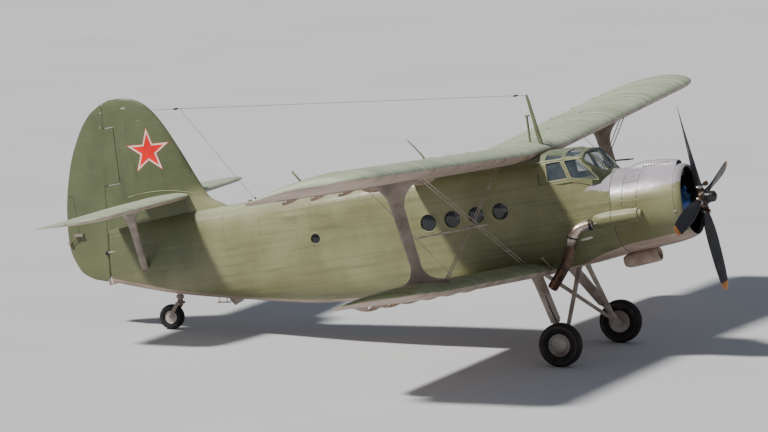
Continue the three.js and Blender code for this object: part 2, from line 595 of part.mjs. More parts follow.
// A tailplane strut is flat, with a wide top under the tailplane.
const strutTop = vector(-7985, 1500, tailplane.z);
const strutFoot = vector(-8430, 200, 2500);
const tailStrutOutline = new THREE.Shape();
const tailStrutHeight = strutTop.clone().sub(strutFoot).length();
tailStrutOutline.moveTo(-70, 0);
tailStrutOutline.lineTo(-75, tailStrutHeight * 0.62);
tailStrutOutline.quadraticCurveTo(-90, tailStrutHeight * 0.85, -275, tailStrutHeight);
tailStrutOutline.lineTo(275, tailStrutHeight);
tailStrutOutline.quadraticCurveTo(90, tailStrutHeight * 0.85, 75, tailStrutHeight * 0.62);
tailStrutOutline.lineTo(70, 0);
const strutLean = Math.atan2(strutTop.y - strutFoot.y, strutTop.z - strutFoot.z);
const strutRake = Math.atan2(strutTop.x - strutFoot.x,
  Math.hypot(strutTop.y - strutFoot.y, strutTop.z - strutFoot.z));
const tailStrut = clearOf(plateXZ(tailStrutOutline, -28, 28, 6)
  .rotate([0, THREE.MathUtils.radToDeg(strutRake), 0])
  .rotate([-THREE.MathUtils.radToDeg(strutLean), 0, 0])
  .translate(strutFoot.toArray()), tailplaneHalf, bothSides(tailCone));
addPair('tailplane_strut', tailStrut, strutGrey);

// Interplane struts: one broad plate on each side, flared where it meets both wings
const interplane = new THREE.Shape();
interplane.moveTo(-1560, 3780);
interplane.lineTo(-1560, 3545);
interplane.quadraticCurveTo(-1250, 3480, -1222, 3130);
interplane.lineTo(-1050, 2080);
interplane.quadraticCurveTo(-1060, 1800, -1310, 1745);
interplane.lineTo(-1310, 1600);
interplane.lineTo(-370, 1600);
interplane.lineTo(-370, 1765);
interplane.quadraticCurveTo(-800, 1790, -850, 2080);
interplane.lineTo(-962, 3130);
interplane.quadraticCurveTo(-900, 3560, -190, 3680);
interplane.lineTo(-190, 3800);
const upperWingInDatum = inDatum(upper, upperPanel.subtract(slatZone));
const lowerWingInDatum = inDatum(lower, lowerWing);
const strutPlate = clearOf(plateXZ(interplane, strutY - 45, strutY + 45, 7)
  .intersect(box([-far, far], [0, far], [1500, 3800])), upperWingInDatum, lowerWingInDatum);
addPair('interplane_strut', strutPlate, strutGrey);

// Main stays: a pair of wires each way, tied at mid height by a bar to the strut
const wirePair = (from, to, spread, diameter) => [-1, 1].map((end) => {
  const aside = vector((end * spread) / 2, 0, 0);
  return bar(from.clone().add(aside), to.clone().add(aside), diameter, diameter * 0.7, 6);
});
const strutHead = vector(-585, 5560, 3605);
const bodySide = vector(-540, 800, 1262);
const strutToe = vector(-435, 5560, 1740);
const roofEdge = vector(-640, 1180, 3500);
const tieBlock = (from, to, share, spread) => {
  const at = from.clone().lerp(to, share);
  return box([at.x - spread / 2, at.x + spread / 2], [at.y - 14, at.y + 14], [at.z - 9, at.z + 9]);
};
const stay = (from, to, spread, shares, ...neighbours) => {
  const wires = wirePair(from, to, spread, 16).map((wire) => clearOf(wire, ...neighbours));
  return joined(...wires, ...shares.map((share) => tieBlock(from, to, share, spread)));
};
const flyingWires = stay(strutHead, bodySide, 70, [0.25, 0.75],
  upperWingInDatum, lowerWingInDatum, strutPlate, fuselageSkin);
const landingWires = stay(strutToe, roofEdge, 50, [0.25, 0.75],
  upperWingInDatum, lowerWingInDatum, strutPlate, centreSection);
addPair('flying_wires', flyingWires, strutGrey);
addPair('landing_wires', landingWires, strutGrey);

// Main undercarriage: a shock strut and a forked brace on each side meet at the axle
const axle = { radius: 39, inner: 1440, outer: mainWheel.y + 54 };
const shockTop = vector(-520, 880, 1290);
const shockJoin = vector(-190, 1265, 520);
const shockFoot = vector(0, 1480, 40);
const axleBar = bar(vector(0, axle.inner, 0), vector(0, axle.outer, 0), axle.radius * 2, axle.radius * 2,
  16);
const axleBlock = box([-60, 60], [1425, 1515], [-62, 70]);
const shockStrut = clearOf(joined(
  bar(shockTop, shockJoin, 215, 110, 16, 0.92),
  bar(shockJoin, shockFoot, 96, 96, 14),
  axleBlock, axleBar,
), lowerWingInDatum, fuselageSkin);
addPair('shock_strut', shockStrut, strutGrey);
const braceArm = (top) => bar(top, vector(0, 1420, 24), 105, 58, 14, 0.75);
const brace = clearOf(joined(braceArm(vector(91, 190, 1270)), braceArm(vector(-850, 190, 1270))),
  fuselageSkin, shockStrut);
addPair('gear_brace', brace, strutGrey);

// Wheels: tyre and hub rows are distance along the axle and radius
const tyreRows = ({ radius, width, rim }) => {
  const half = width / 2;
  const wallHeight = radius - rim;
  return closed([
    [-half * 0.66, rim], [-half, rim + wallHeight * 0.42], [-half * 0.86, rim + wallHeight * 0.82],
    [-half * 0.45, radius - wallHeight * 0.02], [0, radius], [half * 0.45, radius - wallHeight * 0.02],
    [half * 0.86, rim + wallHeight * 0.82], [half, rim + wallHeight * 0.42], [half * 0.66, rim],
  ]);
};
const mainHubRows = [
  [60, 0], [60, 40], [-80, 40], [-80, 180], [-86, mainWheel.rim - gap], [86, mainWheel.rim - gap],
  [86, 186], [58, 172], [58, 138], [104, 122], [124, 70], [128, 0],
];
const mainTyre = turned(tyreRows(mainWheel), 'y', 24);
const mainHub = turned(mainHubRows, 'y', 24);
sides.forEach((side) => {
  const wheel = new THREE.Group();
  wheel.position.set(0, side.sign * mainWheel.y, 0);
  aircraft.add(wheel);
  addMesh(wheel, `main_tyre_${side.name}`, onSide(mainTyre, side), rubber);
  addMesh(wheel, `main_hub_${side.name}`, onSide(mainHub, side), strutGrey);
});

// Tail wheel: its castor axis stands upright when the aircraft is parked
const tailLeg = new THREE.Group();
tailLeg.position.set(-7935, 0, 1800);
tailLeg.rotation.y = groundAngle;
aircraft.add(tailLeg);
const intoLeg = (point) => point.clone().sub(tailLeg.position)
  .applyAxisAngle(new THREE.Vector3(0, 1, 0), -groundAngle);
const tailAxle = intoLeg(vector(tailWheel.x, 0, tailWheel.z));
const uprightZ = (from, to, radius, sidesCount = 14) =>
  turned([[from, 0], [from, radius], [to, radius], [to, 0]], 'z', sidesCount);
const tailConeInLeg = tailCone.translate(tailLeg.position.clone().negate().toArray())
  .rotate([0, -THREE.MathUtils.radToDeg(groundAngle), 0]);
const tailShock = clearOf(joined(uprightZ(0, 300, 52), uprightZ(40, 90, 75)), tailConeInLeg);
const armY = tailWheel.width / 2 + 24;
const forkArm = (y) => bar(vector(0, y, -40), vector(tailAxle.x, y, tailAxle.z), 74, 28, 14);
const tailFork = joined(
  uprightZ(-60, -runningGap, 56),
  uprightZ(-60, -gap, 30),
  box([-46, 46], [-armY - 14, armY + 14], [-72, -30]),
  forkArm(armY), forkArm(-armY),
  bar(vector(tailAxle.x, -armY, tailAxle.z), vector(tailAxle.x, armY, tailAxle.z), 38, 38, 12),
);
addMesh(tailLeg, 'tail_shock_strut', tailShock, strutGrey);
addMesh(tailLeg, 'tail_fork', tailFork, strutGrey);
const tailSpindle = new THREE.Group();
tailSpindle.position.copy(tailAxle);
tailLeg.add(tailSpindle);
const tailHubHalf = tailWheel.width / 2 - 20;
const tailHub = turned(closed([
  [-tailHubHalf, 20], [-tailHubHalf, 60], [-60, 80], [-60, tailWheel.rim + 2],
  [60, tailWheel.rim + 2], [60, 80], [tailHubHalf, 60], [tailHubHalf, 20],
]), 'y', 16);
addMesh(tailSpindle, 'tail_wheel', joined(turned(tyreRows(tailWheel), 'y', 20), tailHub), rubber);

// Engine: nine cylinders around one crankcase, open to view through the cowl's mouth
const onThrustLine = (solid) => solid.translate([0, 0, thrustZ]);
const hubRear = -171;
const shaftEnd = propeller.x + hubRear - gap;
const crankcase = turned([
  [firewallX + gap, 0], [firewallX + gap, 300], [1500, 340], [1720, 360], [2020, 350], [2090, 265],
  [2250, 225], [2330, 120], [2392, 112], [2392, 60], [shaftEnd, 60], [shaftEnd, 0],
], 'x', 16);
const cylinderCount = 9;
const engineCylinder = joined(
  bar(vector(1880, 0, 300), vector(1880, 0, 560), 176, 176, 8),
  bar(vector(1880, 0, 520), vector(1880, 0, 655), 190, 206, 8),
);
const engineCylinders = Array.from({ length: cylinderCount }, (_, i) =>
  engineCylinder.rotate([(i * 360) / cylinderCount, 0, 0]));
addMesh(aircraft, 'engine', onThrustLine(joined(crankcase, ...engineCylinders)), engineBlack);

const cowlFront = 2404;
const cowlOuter = [
  [cowlRear, 772], [1650, 757], [2000, 730], [2240, 693], [2325, 674], [2375, 658], [cowlFront, 640],
];
const cowlInner = [[2394, 625], [2330, 632], [2200, 650], [2000, 690], [1650, 720], [cowlRear, 735]];
const cowl = onThrustLine(turned(closed([...cowlOuter, ...cowlInner]), 'x', 32));
const cowlBulk = onThrustLine(turned([[cowlRear, 0], ...cowlOuter, [cowlFront, 0]], 'x', 32));
addMesh(aircraft, 'cowl', cowl, cowlGrey);

// Scoop over the cowl: columns are x, half width, top
const scoopRows = [
  [1262, 140, 2850], [1400, 185, 2918], [1620, 200, 2945], [2184, 190, 2892], [2262, 180, 2866],
];
const scoopLoft = (inset) => loft(scoopRows.map(([x, half, top]) =>
  sectionRing(x, half - inset, 2560, top - inset, 2.8, 20)));
const scoopMouth = scoopLoft(16).intersect(box([2080, 2300], [-400, 400], [2500, 3000]));
const scoop = clearOf(scoopLoft(0), cowlBulk).subtract(scoopMouth);
addMesh(aircraft, 'nose_scoop', largest(scoop), cowlGrey);

const oilCooler = clearOf(turned([
  [0, 0], [0, 92], [90, 132], [640, 140], [705, 128], [705, 108], [560, 104], [560, 0],
], 'x', 24).rotate([0, -4.4, 0]).translate([903, 0, 1186]), cowlBulk, fuselageSkin);
addMesh(aircraft, 'oil_cooler_duct', oilCooler, cowlGrey);

// Starboard heater fairing and the exhaust pipe that leaves it
const fairingRows = [[715, 96], [760, 128], [1000, 142], [1400, 138], [1620, 112], [1668, 60]];
const fairing = clearOf(loft(fairingRows.map(([x, radius]) =>
  ellipseRing(vector(x, -752, 2046), vector(0, 1, 0), vector(0, 0, 1), radius * 2, radius * 2, 16))),
cowlBulk, fuselageSkin);
addMesh(aircraft, 'heater_fairing', fairing, olive);
const pipeRoute = new THREE.CatmullRomCurve3([
  vector(714, -872, 2010), vector(600, -900, 2004), vector(450, -945, 1965), vector(345, -972, 1860),
  vector(285, -985, 1700), vector(190, -992, 1490), vector(40, -1000, 1270), vector(-215, -1000, 985),
]);
const circle = (radius) => new THREE.Shape().absarc(0, 0, radius, 0, 2 * Math.PI);
const pipe = (radius) => solidOf(new THREE.ExtrudeGeometry(circle(radius), {
  extrudePath: pipeRoute, steps: 12, curveSegments: 5,
}));
const pipeEnd = box([-1000, 150], [-1300, -800], [500, 1400]);
const exhaust = clearOf(pipe(92).subtract(pipe(84).intersect(pipeEnd)), fairing, fuselageSkin);
addMesh(aircraft, 'exhaust_pipe', exhaust, burntMetal);

// Propeller: blade columns are radius, chord, thickness and pitch from the disc, in degrees
const bladeRows = [
  [propeller.root + gap, 128, 122, 45], [420, 175, 96, 43], [640, 232, 62, 38], [900, 262, 44, 32],
  [1250, 268, 30, 26], [1560, 240, 20, 21], [1740, 168, 12, 19], [1800, 50, 6, 18],
];
const bladeRing = ([radius, chord, thickness, pitch]) => {
  const angle = degrees(pitch);
  const chordAxis = vector(Math.sin(angle), -Math.cos(angle), 0);
  const depthAxis = vector(Math.cos(angle), Math.sin(angle), 0);
  return ellipseRing(vector(0, 0, radius), chordAxis, depthAxis, chord, thickness, 14);
};
const blade = loft(bladeRows.map(bladeRing));
const hubBarrel = turned([
  [hubRear, 0], [hubRear, 116], [-100, 128], [-86, 150], [86, 150],
  [120, 106], [230, 100], [278, 66], [288, 0],
], 'x', 20);
const bladeTurns = Array.from({ length: propeller.bladeCount }, (_, i) =>
  propeller.turn + (i * 2 * Math.PI) / propeller.bladeCount);
const sockets = bladeTurns.map((turn) => bar(vector(0, 0, 0), vector(0, 0, propeller.root), 156, 156, 12)
  .rotate([THREE.MathUtils.radToDeg(turn), 0, 0]));
const spinner = new THREE.Group();
spinner.position.set(propeller.x, 0, thrustZ);
aircraft.add(spinner);
addMesh(spinner, 'propeller_hub', joined(hubBarrel, ...sockets), bladeBlack);
bladeTurns.forEach((turn, i) => {
  addMesh(spinner, `propeller_blade_${i + 1}`, blade, bladeBlack).rotation.x = turn;
});

// Cockpit canopy: columns are x, base, shoulder and roof half widths, shoulder, roof and ridge heights
const canopyRows = [
  [-159, 852, 800, 520, 3262, 3400, 3424],
  [300, 858, 772, 480, 3255, 3375, 3400],
  [450, 832, 720, 440, 3250, 3352, 3376],
  [640, 700, 592, 380, 3232, 3312, 3336],
  [812, 525, 440, 300, 3070, 3112, 3126],
  [984.5, 300, 246, 180, 2888, 2906, 2914],
];
const canopyLoft = (inset, baseZ) => loft(canopyRows.map((row) => {
  const [x, base, shoulder, roof, lowZ, highZ, ridgeZ] = row;
  const half = [
    [base - inset, baseZ],
    [shoulder - inset, Math.max(lowZ - inset, baseZ + 6)],
    [roof - inset, Math.max(highZ - inset, baseZ + 12)],
  ];
  const sideways = (sign) => half.map(([y, z]) => vector(x, sign * y, z));
  return [...sideways(-1), vector(x, 0, Math.max(ridgeZ - inset, baseZ + 16)), ...sideways(1).reverse()];
}));
const paneZ = { low: sillZ + 32, high: 3228 };
const sidePanes = [
  [[10, paneZ.low], [402, paneZ.low], [290, paneZ.high], [10, paneZ.high]],
  [[462, paneZ.low], [860, paneZ.low], [612, paneZ.high - 20], [352, paneZ.high]],
].map((points) => plateXZ(polygon(points), -1200, 1200));
const acrossYZ = (points, x0, x1) => solidOf(new THREE.ExtrudeGeometry(polygon(points), {
  depth: x1 - x0, bevelEnabled: false, steps: 1,
})).rotate([90, 0, 0]).rotate([0, 0, 90]).translate([x0, 0, 0]);
const windscreenPanes = [
  acrossYZ([[-205, 2925], [205, 2925], [205, 3296], [-205, 3296]], 650, 1400),
  ...[-1, 1].map((sign) =>
    acrossYZ([[235, 2925], [330, 2925], [545, 3205], [370, 3290], [235, 3290]]
      .map(([y, z]) => [sign * y, z]), 655, 1400)),
];
const roofPanes = [-1, 1].map((sign) => joined(
  box([-10, 290], [sign * 640 - 95, sign * 640 + 95], [3255, 3600]),
  box([335, 590], [sign * 560 - 80, sign * 560 + 80], [3255, 3600]),
));
const canopyInset = 26;
const aboveSill = box([-far, far], [-far, far], [sillZ + gap, far]);
const canopyBubble = (inset) => canopyLoft(inset, sillZ - 40);
const canopyWhole = canopyBubble(0).subtract(canopyBubble(canopyInset)).intersect(aboveSill);
const canopyFrame = [...sidePanes, ...windscreenPanes, ...roofPanes]
  .reduce((rest, pane) => rest.subtract(pane), canopyWhole);
addMesh(aircraft, 'canopy_frame', clearOf(canopyFrame, centreSection), olive);
const glazing = canopyBubble(canopyInset + gap).subtract(canopyBubble(canopyInset + 9)).intersect(aboveSill);
addMesh(aircraft, 'cockpit_glazing', clearOf(glazing, centreSection), glass);

// Cockpit and cabin furniture
const inCabin = (solid) => solid.intersect(insideCabin);
const flightDeckZ = 1920;
const deckRear = -190;
const deck = inCabin(box([deckRear, 1000], [-900, 900], [1860, flightDeckZ]));
const bulkhead = inCabin(box([deckRear - 40, deckRear + 1], [-900, 900], [floorZ, 3180]))
  .subtract(box([-400, 0], [-290, 290], [floorZ + 60, 2960]));
addMesh(aircraft, 'flight_deck', clearOf(joined(deck, bulkhead), centreSection), interiorGrey);
const seat = { y: 400, halfWidth: 220, panZ: 2260, backTop: 3010, base: [140, 420] };
const seatBand = [seat.y - seat.halfWidth, seat.y + seat.halfWidth];
const seatSolid = joined(
  box([60, 520], seatBand, [seat.panZ, seat.panZ + 110]),
  box([-20, 80], seatBand, [seat.panZ + 40, seat.backTop]),
  box(seat.base, [seat.y - 150, seat.y + 150], [flightDeckZ + gap, seat.panZ + 20]),
);
const seatRail = box(seat.base, [-seat.y, seat.y], [flightDeckZ + gap, flightDeckZ + 25]);
addMesh(aircraft, 'pilot_seats', joined(seatSolid, mirrorY(seatSolid), seatRail), seatCloth);
const panel = joined(
  box([742, 780], [-430, 430], [2560, 2862]),
  box([700, 800], [-140, 140], [flightDeckZ + gap, 2620]),
);
addMesh(aircraft, 'instrument_panel', panel, engineBlack);

// Aerial mast on the wing's centre section
const mast = clearOf(bar(vector(-282, 0, 3520), vector(-394, 0, 4506), 74, 34, 10, 0.55), centreSection);
addMesh(aircraft, 'aerial_mast', mast, strutGrey);

// Parked attitude: tail down, wheels on Z = 0, origin under the middle of the whole aircraft
const parked = new THREE.Group();
aircraft.rotation.y = -groundAngle;
aircraft.position.z = mainWheel.radius;
parked.add(aircraft);
parked.updateMatrixWorld(true);
const reach = new THREE.Box3().setFromObject(parked, true);
aircraft.position.x = -(reach.min.x + reach.max.x) / 2;
aircraft.position.y = -(reach.min.y + reach.max.y) / 2;
parked.updateMatrixWorld(true);

export default parked;
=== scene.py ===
"""A large single-engine utility biplane on its wheels, dressed over its construction model.

Units are metres. Shapes are made in the aircraft's datum: X forward, Y to port, Z up, with its origin
midway between the main wheels. DATUM stands that datum in the frame, tail down.
"""
import json
import math

import bpy
from mathutils import Matrix, Vector

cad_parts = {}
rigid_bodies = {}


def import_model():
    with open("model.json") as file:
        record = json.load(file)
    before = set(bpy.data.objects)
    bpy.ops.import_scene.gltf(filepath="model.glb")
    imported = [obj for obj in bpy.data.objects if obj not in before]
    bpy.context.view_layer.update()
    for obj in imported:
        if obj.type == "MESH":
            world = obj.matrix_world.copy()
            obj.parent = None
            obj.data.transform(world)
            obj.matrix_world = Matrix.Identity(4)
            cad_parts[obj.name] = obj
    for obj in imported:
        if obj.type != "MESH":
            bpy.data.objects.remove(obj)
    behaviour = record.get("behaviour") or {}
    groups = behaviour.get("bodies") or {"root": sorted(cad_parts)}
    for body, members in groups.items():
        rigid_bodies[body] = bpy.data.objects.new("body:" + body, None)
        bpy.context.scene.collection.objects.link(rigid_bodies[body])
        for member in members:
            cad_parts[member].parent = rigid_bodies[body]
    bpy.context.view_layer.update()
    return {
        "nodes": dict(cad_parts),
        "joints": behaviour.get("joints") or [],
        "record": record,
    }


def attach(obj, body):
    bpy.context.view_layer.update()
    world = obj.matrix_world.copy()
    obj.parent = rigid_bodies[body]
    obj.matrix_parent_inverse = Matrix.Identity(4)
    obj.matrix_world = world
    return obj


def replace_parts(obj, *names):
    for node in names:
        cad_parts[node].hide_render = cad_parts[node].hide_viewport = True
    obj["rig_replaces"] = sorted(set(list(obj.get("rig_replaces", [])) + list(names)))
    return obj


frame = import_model()

# The datum, from the propeller's axis and the main wheels
joints = {joint["name"]: joint for joint in frame["joints"]}
SIDES = {"left": 1, "right": -1}
SIGNS = (-1, 1)
ALONG_X, ALONG_Z = (1, 0, 0), (0, 0, 1)
FORWARD = Vector(joints["propeller_spin"]["axis"]).normalized()
PORT = Vector((0, 1, 0))
UP = FORWARD.cross(PORT)
wheel_centres = [Vector(joints[f"main_wheel_{side}_spin"]["pos_m"]) for side in SIDES]
ORIGIN = (wheel_centres[0] + wheel_centres[1]) / 2
DATUM = Matrix.Translation(ORIGIN) @ Matrix((FORWARD, PORT, UP)).transposed().to_4x4()
TO_DATUM = DATUM.inverted()


def joint_place(name):
    return TO_DATUM @ Vector(joints[name]["pos_m"])


HUB = joint_place("propeller_spin")
THRUST_Z = HUB.z

# Main shapes, as the construction model has them
UPPER = {"x": -0.165, "z": 3.45, "chord": 2.45, "root": 1.05, "tip": 9.088, "incidence": math.radians(3)}
LOWER = {"x": -0.2, "z": 1.285, "chord": 2.0, "root": 0.6, "tip": 7.118, "incidence": math.radians(1)}
DIHEDRAL = math.radians(3.2)
WING_THICKNESS = 0.14
STRUT_Y = 5.58
RIB_PITCH = 0.3
FABRIC_SAG = 0.006
# Columns are x, half width, bottom, top and squareness of the section.
FUSELAGE = [
    (1.08, 0.775, 1.332, 2.886, 2.0), (0.8, 0.812, 1.296, 3.0, 2.4), (0.45, 0.85, 1.262, 3.3, 3.2),
    (-0.16, 0.875, 1.228, 3.405, 4.4), (-1.4, 0.88, 1.225, 3.41, 5.0), (-3.4, 0.88, 1.24, 3.415, 5.0),
    (-4.7, 0.815, 1.318, 3.415, 4.4), (-5.05, 0.775, 1.352, 3.412, 4.0), (-6.6, 0.52, 1.632, 3.405, 3.0),
    (-8.0, 0.27, 1.945, 3.395, 2.6), (-9.33, 0.06, 2.37, 3.38, 2.2),
]
NOSE_X, CABIN_END, TAIL_X = FUSELAGE[0][0], -5.05, FUSELAGE[-1][0]


# Colours are written as they look on a screen, 0 to 255.
def tint(red, green, blue):
    def linear(value):
        value /= 255
        return value / 12.92 if value <= 0.04045 else ((value + 0.055) / 1.055) ** 2.4
    return (linear(red), linear(green), linear(blue), 1)


# The darkest olive is painted shade, used on the cowl lip's front.
OLIVE, OLIVE_PALE, OLIVE_PAINTED_SHADE = tint(117, 117, 80), tint(148, 148, 110), tint(74, 78, 50)
FIN_GREEN, FIN_PALE = tint(84, 92, 62), tint(104, 112, 80)
WING_GREEN, WING_PALE = tint(150, 163, 135), tint(186, 194, 168)
# The underside paint's warm cast is a painted reflection of light bounced up from the ground; the grey-beige
# itself is the paint.
UNDER_GREY_WARM_BOUNCE, UNDER_DARK_WARM_BOUNCE = tint(190, 168, 152), tint(150, 128, 112)
LILAC_GREY, LILAC_DARK = tint(176, 172, 182), tint(140, 136, 142)
GRIME = tint(52, 46, 38)
STAR_CHIP = tint(206, 206, 190)


class Level:
    """A value inside a material, reckoned with like a number."""

    def __init__(self, shader, socket):
        self.shader = shader
        self.socket = socket

    def __add__(self, other):
        return self.shader.math("ADD", self, other)

    def __sub__(self, other):
        return self.shader.math("SUBTRACT", self, other)

    def __rsub__(self, other):
        return self.shader.math("SUBTRACT", other, self)

    def __mul__(self, other):
        return self.shader.math("MULTIPLY", self, other)

    def __truediv__(self, other):
        return self.shader.math("DIVIDE", self, other)

    def __abs__(self):
        return self.shader.math("ABSOLUTE", self)


class Shader:
    """One material's nodes, written as calls that give back levels."""

    def __init__(self, name, **constants):
        self.material = bpy.data.materials.new(name)
        self.material.use_nodes = True
        self.nodes = self.material.node_tree.nodes
        self.surface = self.nodes["Principled BSDF"]
        self.made = {}
        self.finished(**constants)

    def put(self, socket, value):
        if isinstance(value, Level):
            self.material.node_tree.links.new(value.socket, socket)
        else:
            socket.default_value = value

    def finished(self, **values):
        for name, value in values.items():
            self.put(self.surface.inputs[name.replace("_", " ")], value)
        return self.material

    def node(self, kind, inputs, output=0, **settings):
        node = self.nodes.new("ShaderNode" + kind)
        for name, value in settings.items():
            setattr(node, name, value)
        for name, value in inputs.items():
            self.put(node.inputs[name], value)
        return Level(self, node.outputs[output])

    def math(self, operation, a, b=0.0):
        return self.node("Math", {0: a, 1: b}, operation=operation)

    def vector(self, operation, a, b=(0.0, 0.0, 0.0), output=0):
        return self.node("VectorMath", {0: a, 1: b}, output, operation=operation)

    def place(self):
        """The datum coordinates of the shaded point."""
        if "place" not in self.made:
            own = self.node("TexCoord", {}, 3)
            self.made["place"] = self.node("Mapping", {
                "Vector": own, "Location": ORIGIN, "Rotation": DATUM.to_euler(),
            }, vector_type="TEXTURE")
        return self.made["place"]

    def axis(self, letter):
        if "axes" not in self.made:
            split = self.nodes.new("ShaderNodeSeparateXYZ")
            self.put(split.inputs[0], self.place())
            self.made["axes"] = split
        return Level(self, self.made["axes"].outputs["XYZ".index(letter)])

    def facing_up(self):
        """The shading normal's height in the datum, from -1 to 1."""
        if "facing" not in self.made:
            self.made["facing"] = self.vector("DOT_PRODUCT", self.node("TexCoord", {}, 1), UP, 1)
        return self.made["facing"]

    def noise(self, scale, detail=3.0, stretch=(1, 1, 1)):
        where = self.vector("MULTIPLY", self.place(), stretch)
        return self.node("TexNoise", {"Vector": where, "Scale": scale, "Detail": detail, "Roughness": 0.55})

    def ramp(self, value, low, high, start=0.0, end=1.0):
        return self.node("MapRange", {0: value, 1: low, 2: high, 3: start, 4: end},
                         interpolation_type="SMOOTHSTEP")

    def along(self, letter, low, high):
        """From 0 to 1 between two places on an axis."""
        return self.ramp(self.axis(letter), low, high)

    def patches(self, scale, detail, low, high, start=0.0, end=1.0, stretch=(1, 1, 1)):
        """Noise, with what lies between two of its levels spread from start to end."""
        return self.ramp(self.noise(scale, detail, stretch), low, high, start, end)

    def mix(self, factor, a, b):
        return self.node("Mix", {0: factor, 6: a, 7: b}, 2, data_type="RGBA")

    def bump(self, height, distance, strength=1.0):
        return self.node("Bump", {"Height": height, "Distance": distance, "Strength": strength})

    def nearest(self, letter, stations):
        """Distance from the nearest of several stations along one axis."""
        distances = [abs(self.axis(letter) - station) for station in stations]
        nearest = distances[0]
        for distance in distances[1:]:
            nearest = self.math("MINIMUM", nearest, distance)
        return nearest

    def repeated(self, letter, pitch, start=0.0):
        """Distance from the nearest of evenly pitched stations, the same on both sides of the aircraft."""
        value = abs(self.axis(letter)) if letter == "Y" else self.axis(letter)
        turn = self.math("FRACT", (value - (start - pitch * 100)) / pitch)
        return (0.5 - abs(turn - 0.5)) * pitch

    def curve(self, letter, points):
        """A height that follows one axis through a few points."""
        high = 4
        node = self.nodes.new("ShaderNodeFloatCurve")
        start, end = points[0][0], points[-1][0]
        self.put(node.inputs["Value"], self.node("MapRange", {0: self.axis(letter), 1: start, 2: end}))
        line = node.mapping.curves[0]
        places = [((at - start) / (end - start), height / high) for at, height in points]
        line.points[0].location, line.points[1].location = places[0], places[-1]
        for place in places[1:-1]:
            line.points.new(*place)
        for point in line.points:
            point.handle_type = "VECTOR"
        node.mapping.update()
        return Level(self, node.outputs[0]) * high


def weathered(shader, colour, pale, streak_stretch=(0.3, 4, 6)):
    """Paint that has faded in patches, with streaks along the airflow and fine specks."""
    colour = shader.mix(shader.patches(0.8, 4, 0.38, 0.66) * 0.55, colour, pale)
    colour = shader.mix(shader.patches(1.6, 5, 0.52, 0.78, stretch=streak_stretch) * 0.35, colour, GRIME)
    return shader.mix(shader.patches(38, 6, 0.62, 0.72) * 0.18, colour, pale)


def seam_marks(shader, x_seams, z_seams):
    """Panel edges as thin dark lines with a row of rivets on each side: (line, rivet) masks."""
    x_near, z_near = shader.nearest("X", x_seams), shader.nearest("Z", z_seams)
    line = shader.ramp(shader.math("MINIMUM", x_near, z_near), 0.002, 0.007, 1, 0)

    def rivets(across, along):
        band = shader.ramp(abs(across - 0.022), 0.003, 0.006, 1, 0)
        return band * shader.ramp(shader.repeated(along, 0.045), 0.003, 0.006, 1, 0)
    return line, shader.math("MAXIMUM", rivets(x_near, "Z"), rivets(z_near, "X"))


def belly_grey(shader, colour, edge):
    """Grey-beige paint below an edge that follows X, warmed as a painted reflection of light bounced up from
    the ground.
    """
    edge = shader.axis("Z") - shader.curve("X", edge)
    under = shader.ramp(edge, -0.006, 0.006, 1, 0)
    grey = shader.mix(shader.patches(2.4, 5, 0.35, 0.7, stretch=(0.5, 2, 2)), UNDER_GREY_WARM_BOUNCE, UNDER_DARK_WARM_BOUNCE)
    return shader.mix(under, colour, grey)


FRAME_SEAMS = (1.081, 0.45, -0.16, -0.72, -1.72, -2.7, -3.7, -4.72, -5.05, -5.82, -6.6, -7.35, -8.1, -8.75)
STRINGER_SEAMS = (1.66, 2.12, 2.86, 3.2)
# Columns are x and z.
WORN_EDGE = [(0.2, 2.66), (0.5, 2.64), (0.645, 2.617), (1.1, 2.53), (2.5, 2.5)]
BODY_BELLY = [(-9.4, 2.47), (-8.0, 2.03), (-6.6, 1.7), (-5.0, 1.43), (-3.4, 1.29), (-0.1, 1.27),
              (0.37, 1.31), (0.67, 1.42), (1.14, 1.51), (2.26, 1.6), (2.5, 1.6)]
COWL_BELLY = [(1.0, 1.5), (1.3, 1.53), (2.26, 1.6), (2.5, 1.6)]


def fuselage_paint():
    shader = Shader("olive_skin", Coat_Weight=0.12, Coat_Roughness=0.3)
    colour = weathered(shader, OLIVE, OLIVE_PALE)
    line, rivet = seam_marks(shader, FRAME_SEAMS, STRINGER_SEAMS)
    # Upward-facing skin is mixed paler: partly sun fading, partly a painted highlight from the light above.
    colour = shader.mix(shader.ramp(shader.facing_up(), 0.55, 0.95) * 0.6, colour, WING_PALE)
    tail = shader.along("X", -6.6, -7.6) * shader.along("Z", 2.0, 2.7)
    colour = shader.mix(tail * 0.8, colour, FIN_GREEN)
    soot = shader.along("Z", 2.05, 1.3) * shader.along("X", -3.2, -0.2)
    smoke = shader.patches(1.3, 5, 0.3, 0.75, stretch=(0.35, 1, 3))
    colour = shader.mix(soot * smoke * 0.5, colour, GRIME)
    worn = shader.axis("Z") + (shader.noise(3.5, 6) - 0.5) * 0.22
    above_edge = shader.ramp(worn - shader.curve("X", WORN_EDGE), -0.01, 0.02)
    ahead = shader.ramp(shader.axis("X") - worn * 1.8, -4.1, -4.02)
    colour = shader.mix(above_edge * ahead * 0.9, colour, LILAC_GREY)
    colour = belly_grey(shader, colour, BODY_BELLY)
    colour = shader.mix(line * 0.22, colour, GRIME)
    ripples = shader.noise(1.3, 4, (0.5, 1, 6))
    stringers = shader.ramp(shader.repeated("Z", 0.17, 0.05), 0.0, 0.085)
    dents = shader.patches(4.5, 5, 0.55, 0.75, stretch=(0.7, 1, 1.6))
    height = ripples * 0.8 + (rivet - line * 1.5) * 0.1 + stringers * 0.16 + dents * 0.18
    return shader.finished(Base_Color=colour, Normal=shader.bump(height, 0.02, 0.6),
                           Roughness=shader.patches(5, 5, 0.3, 0.8, 0.38, 0.6))


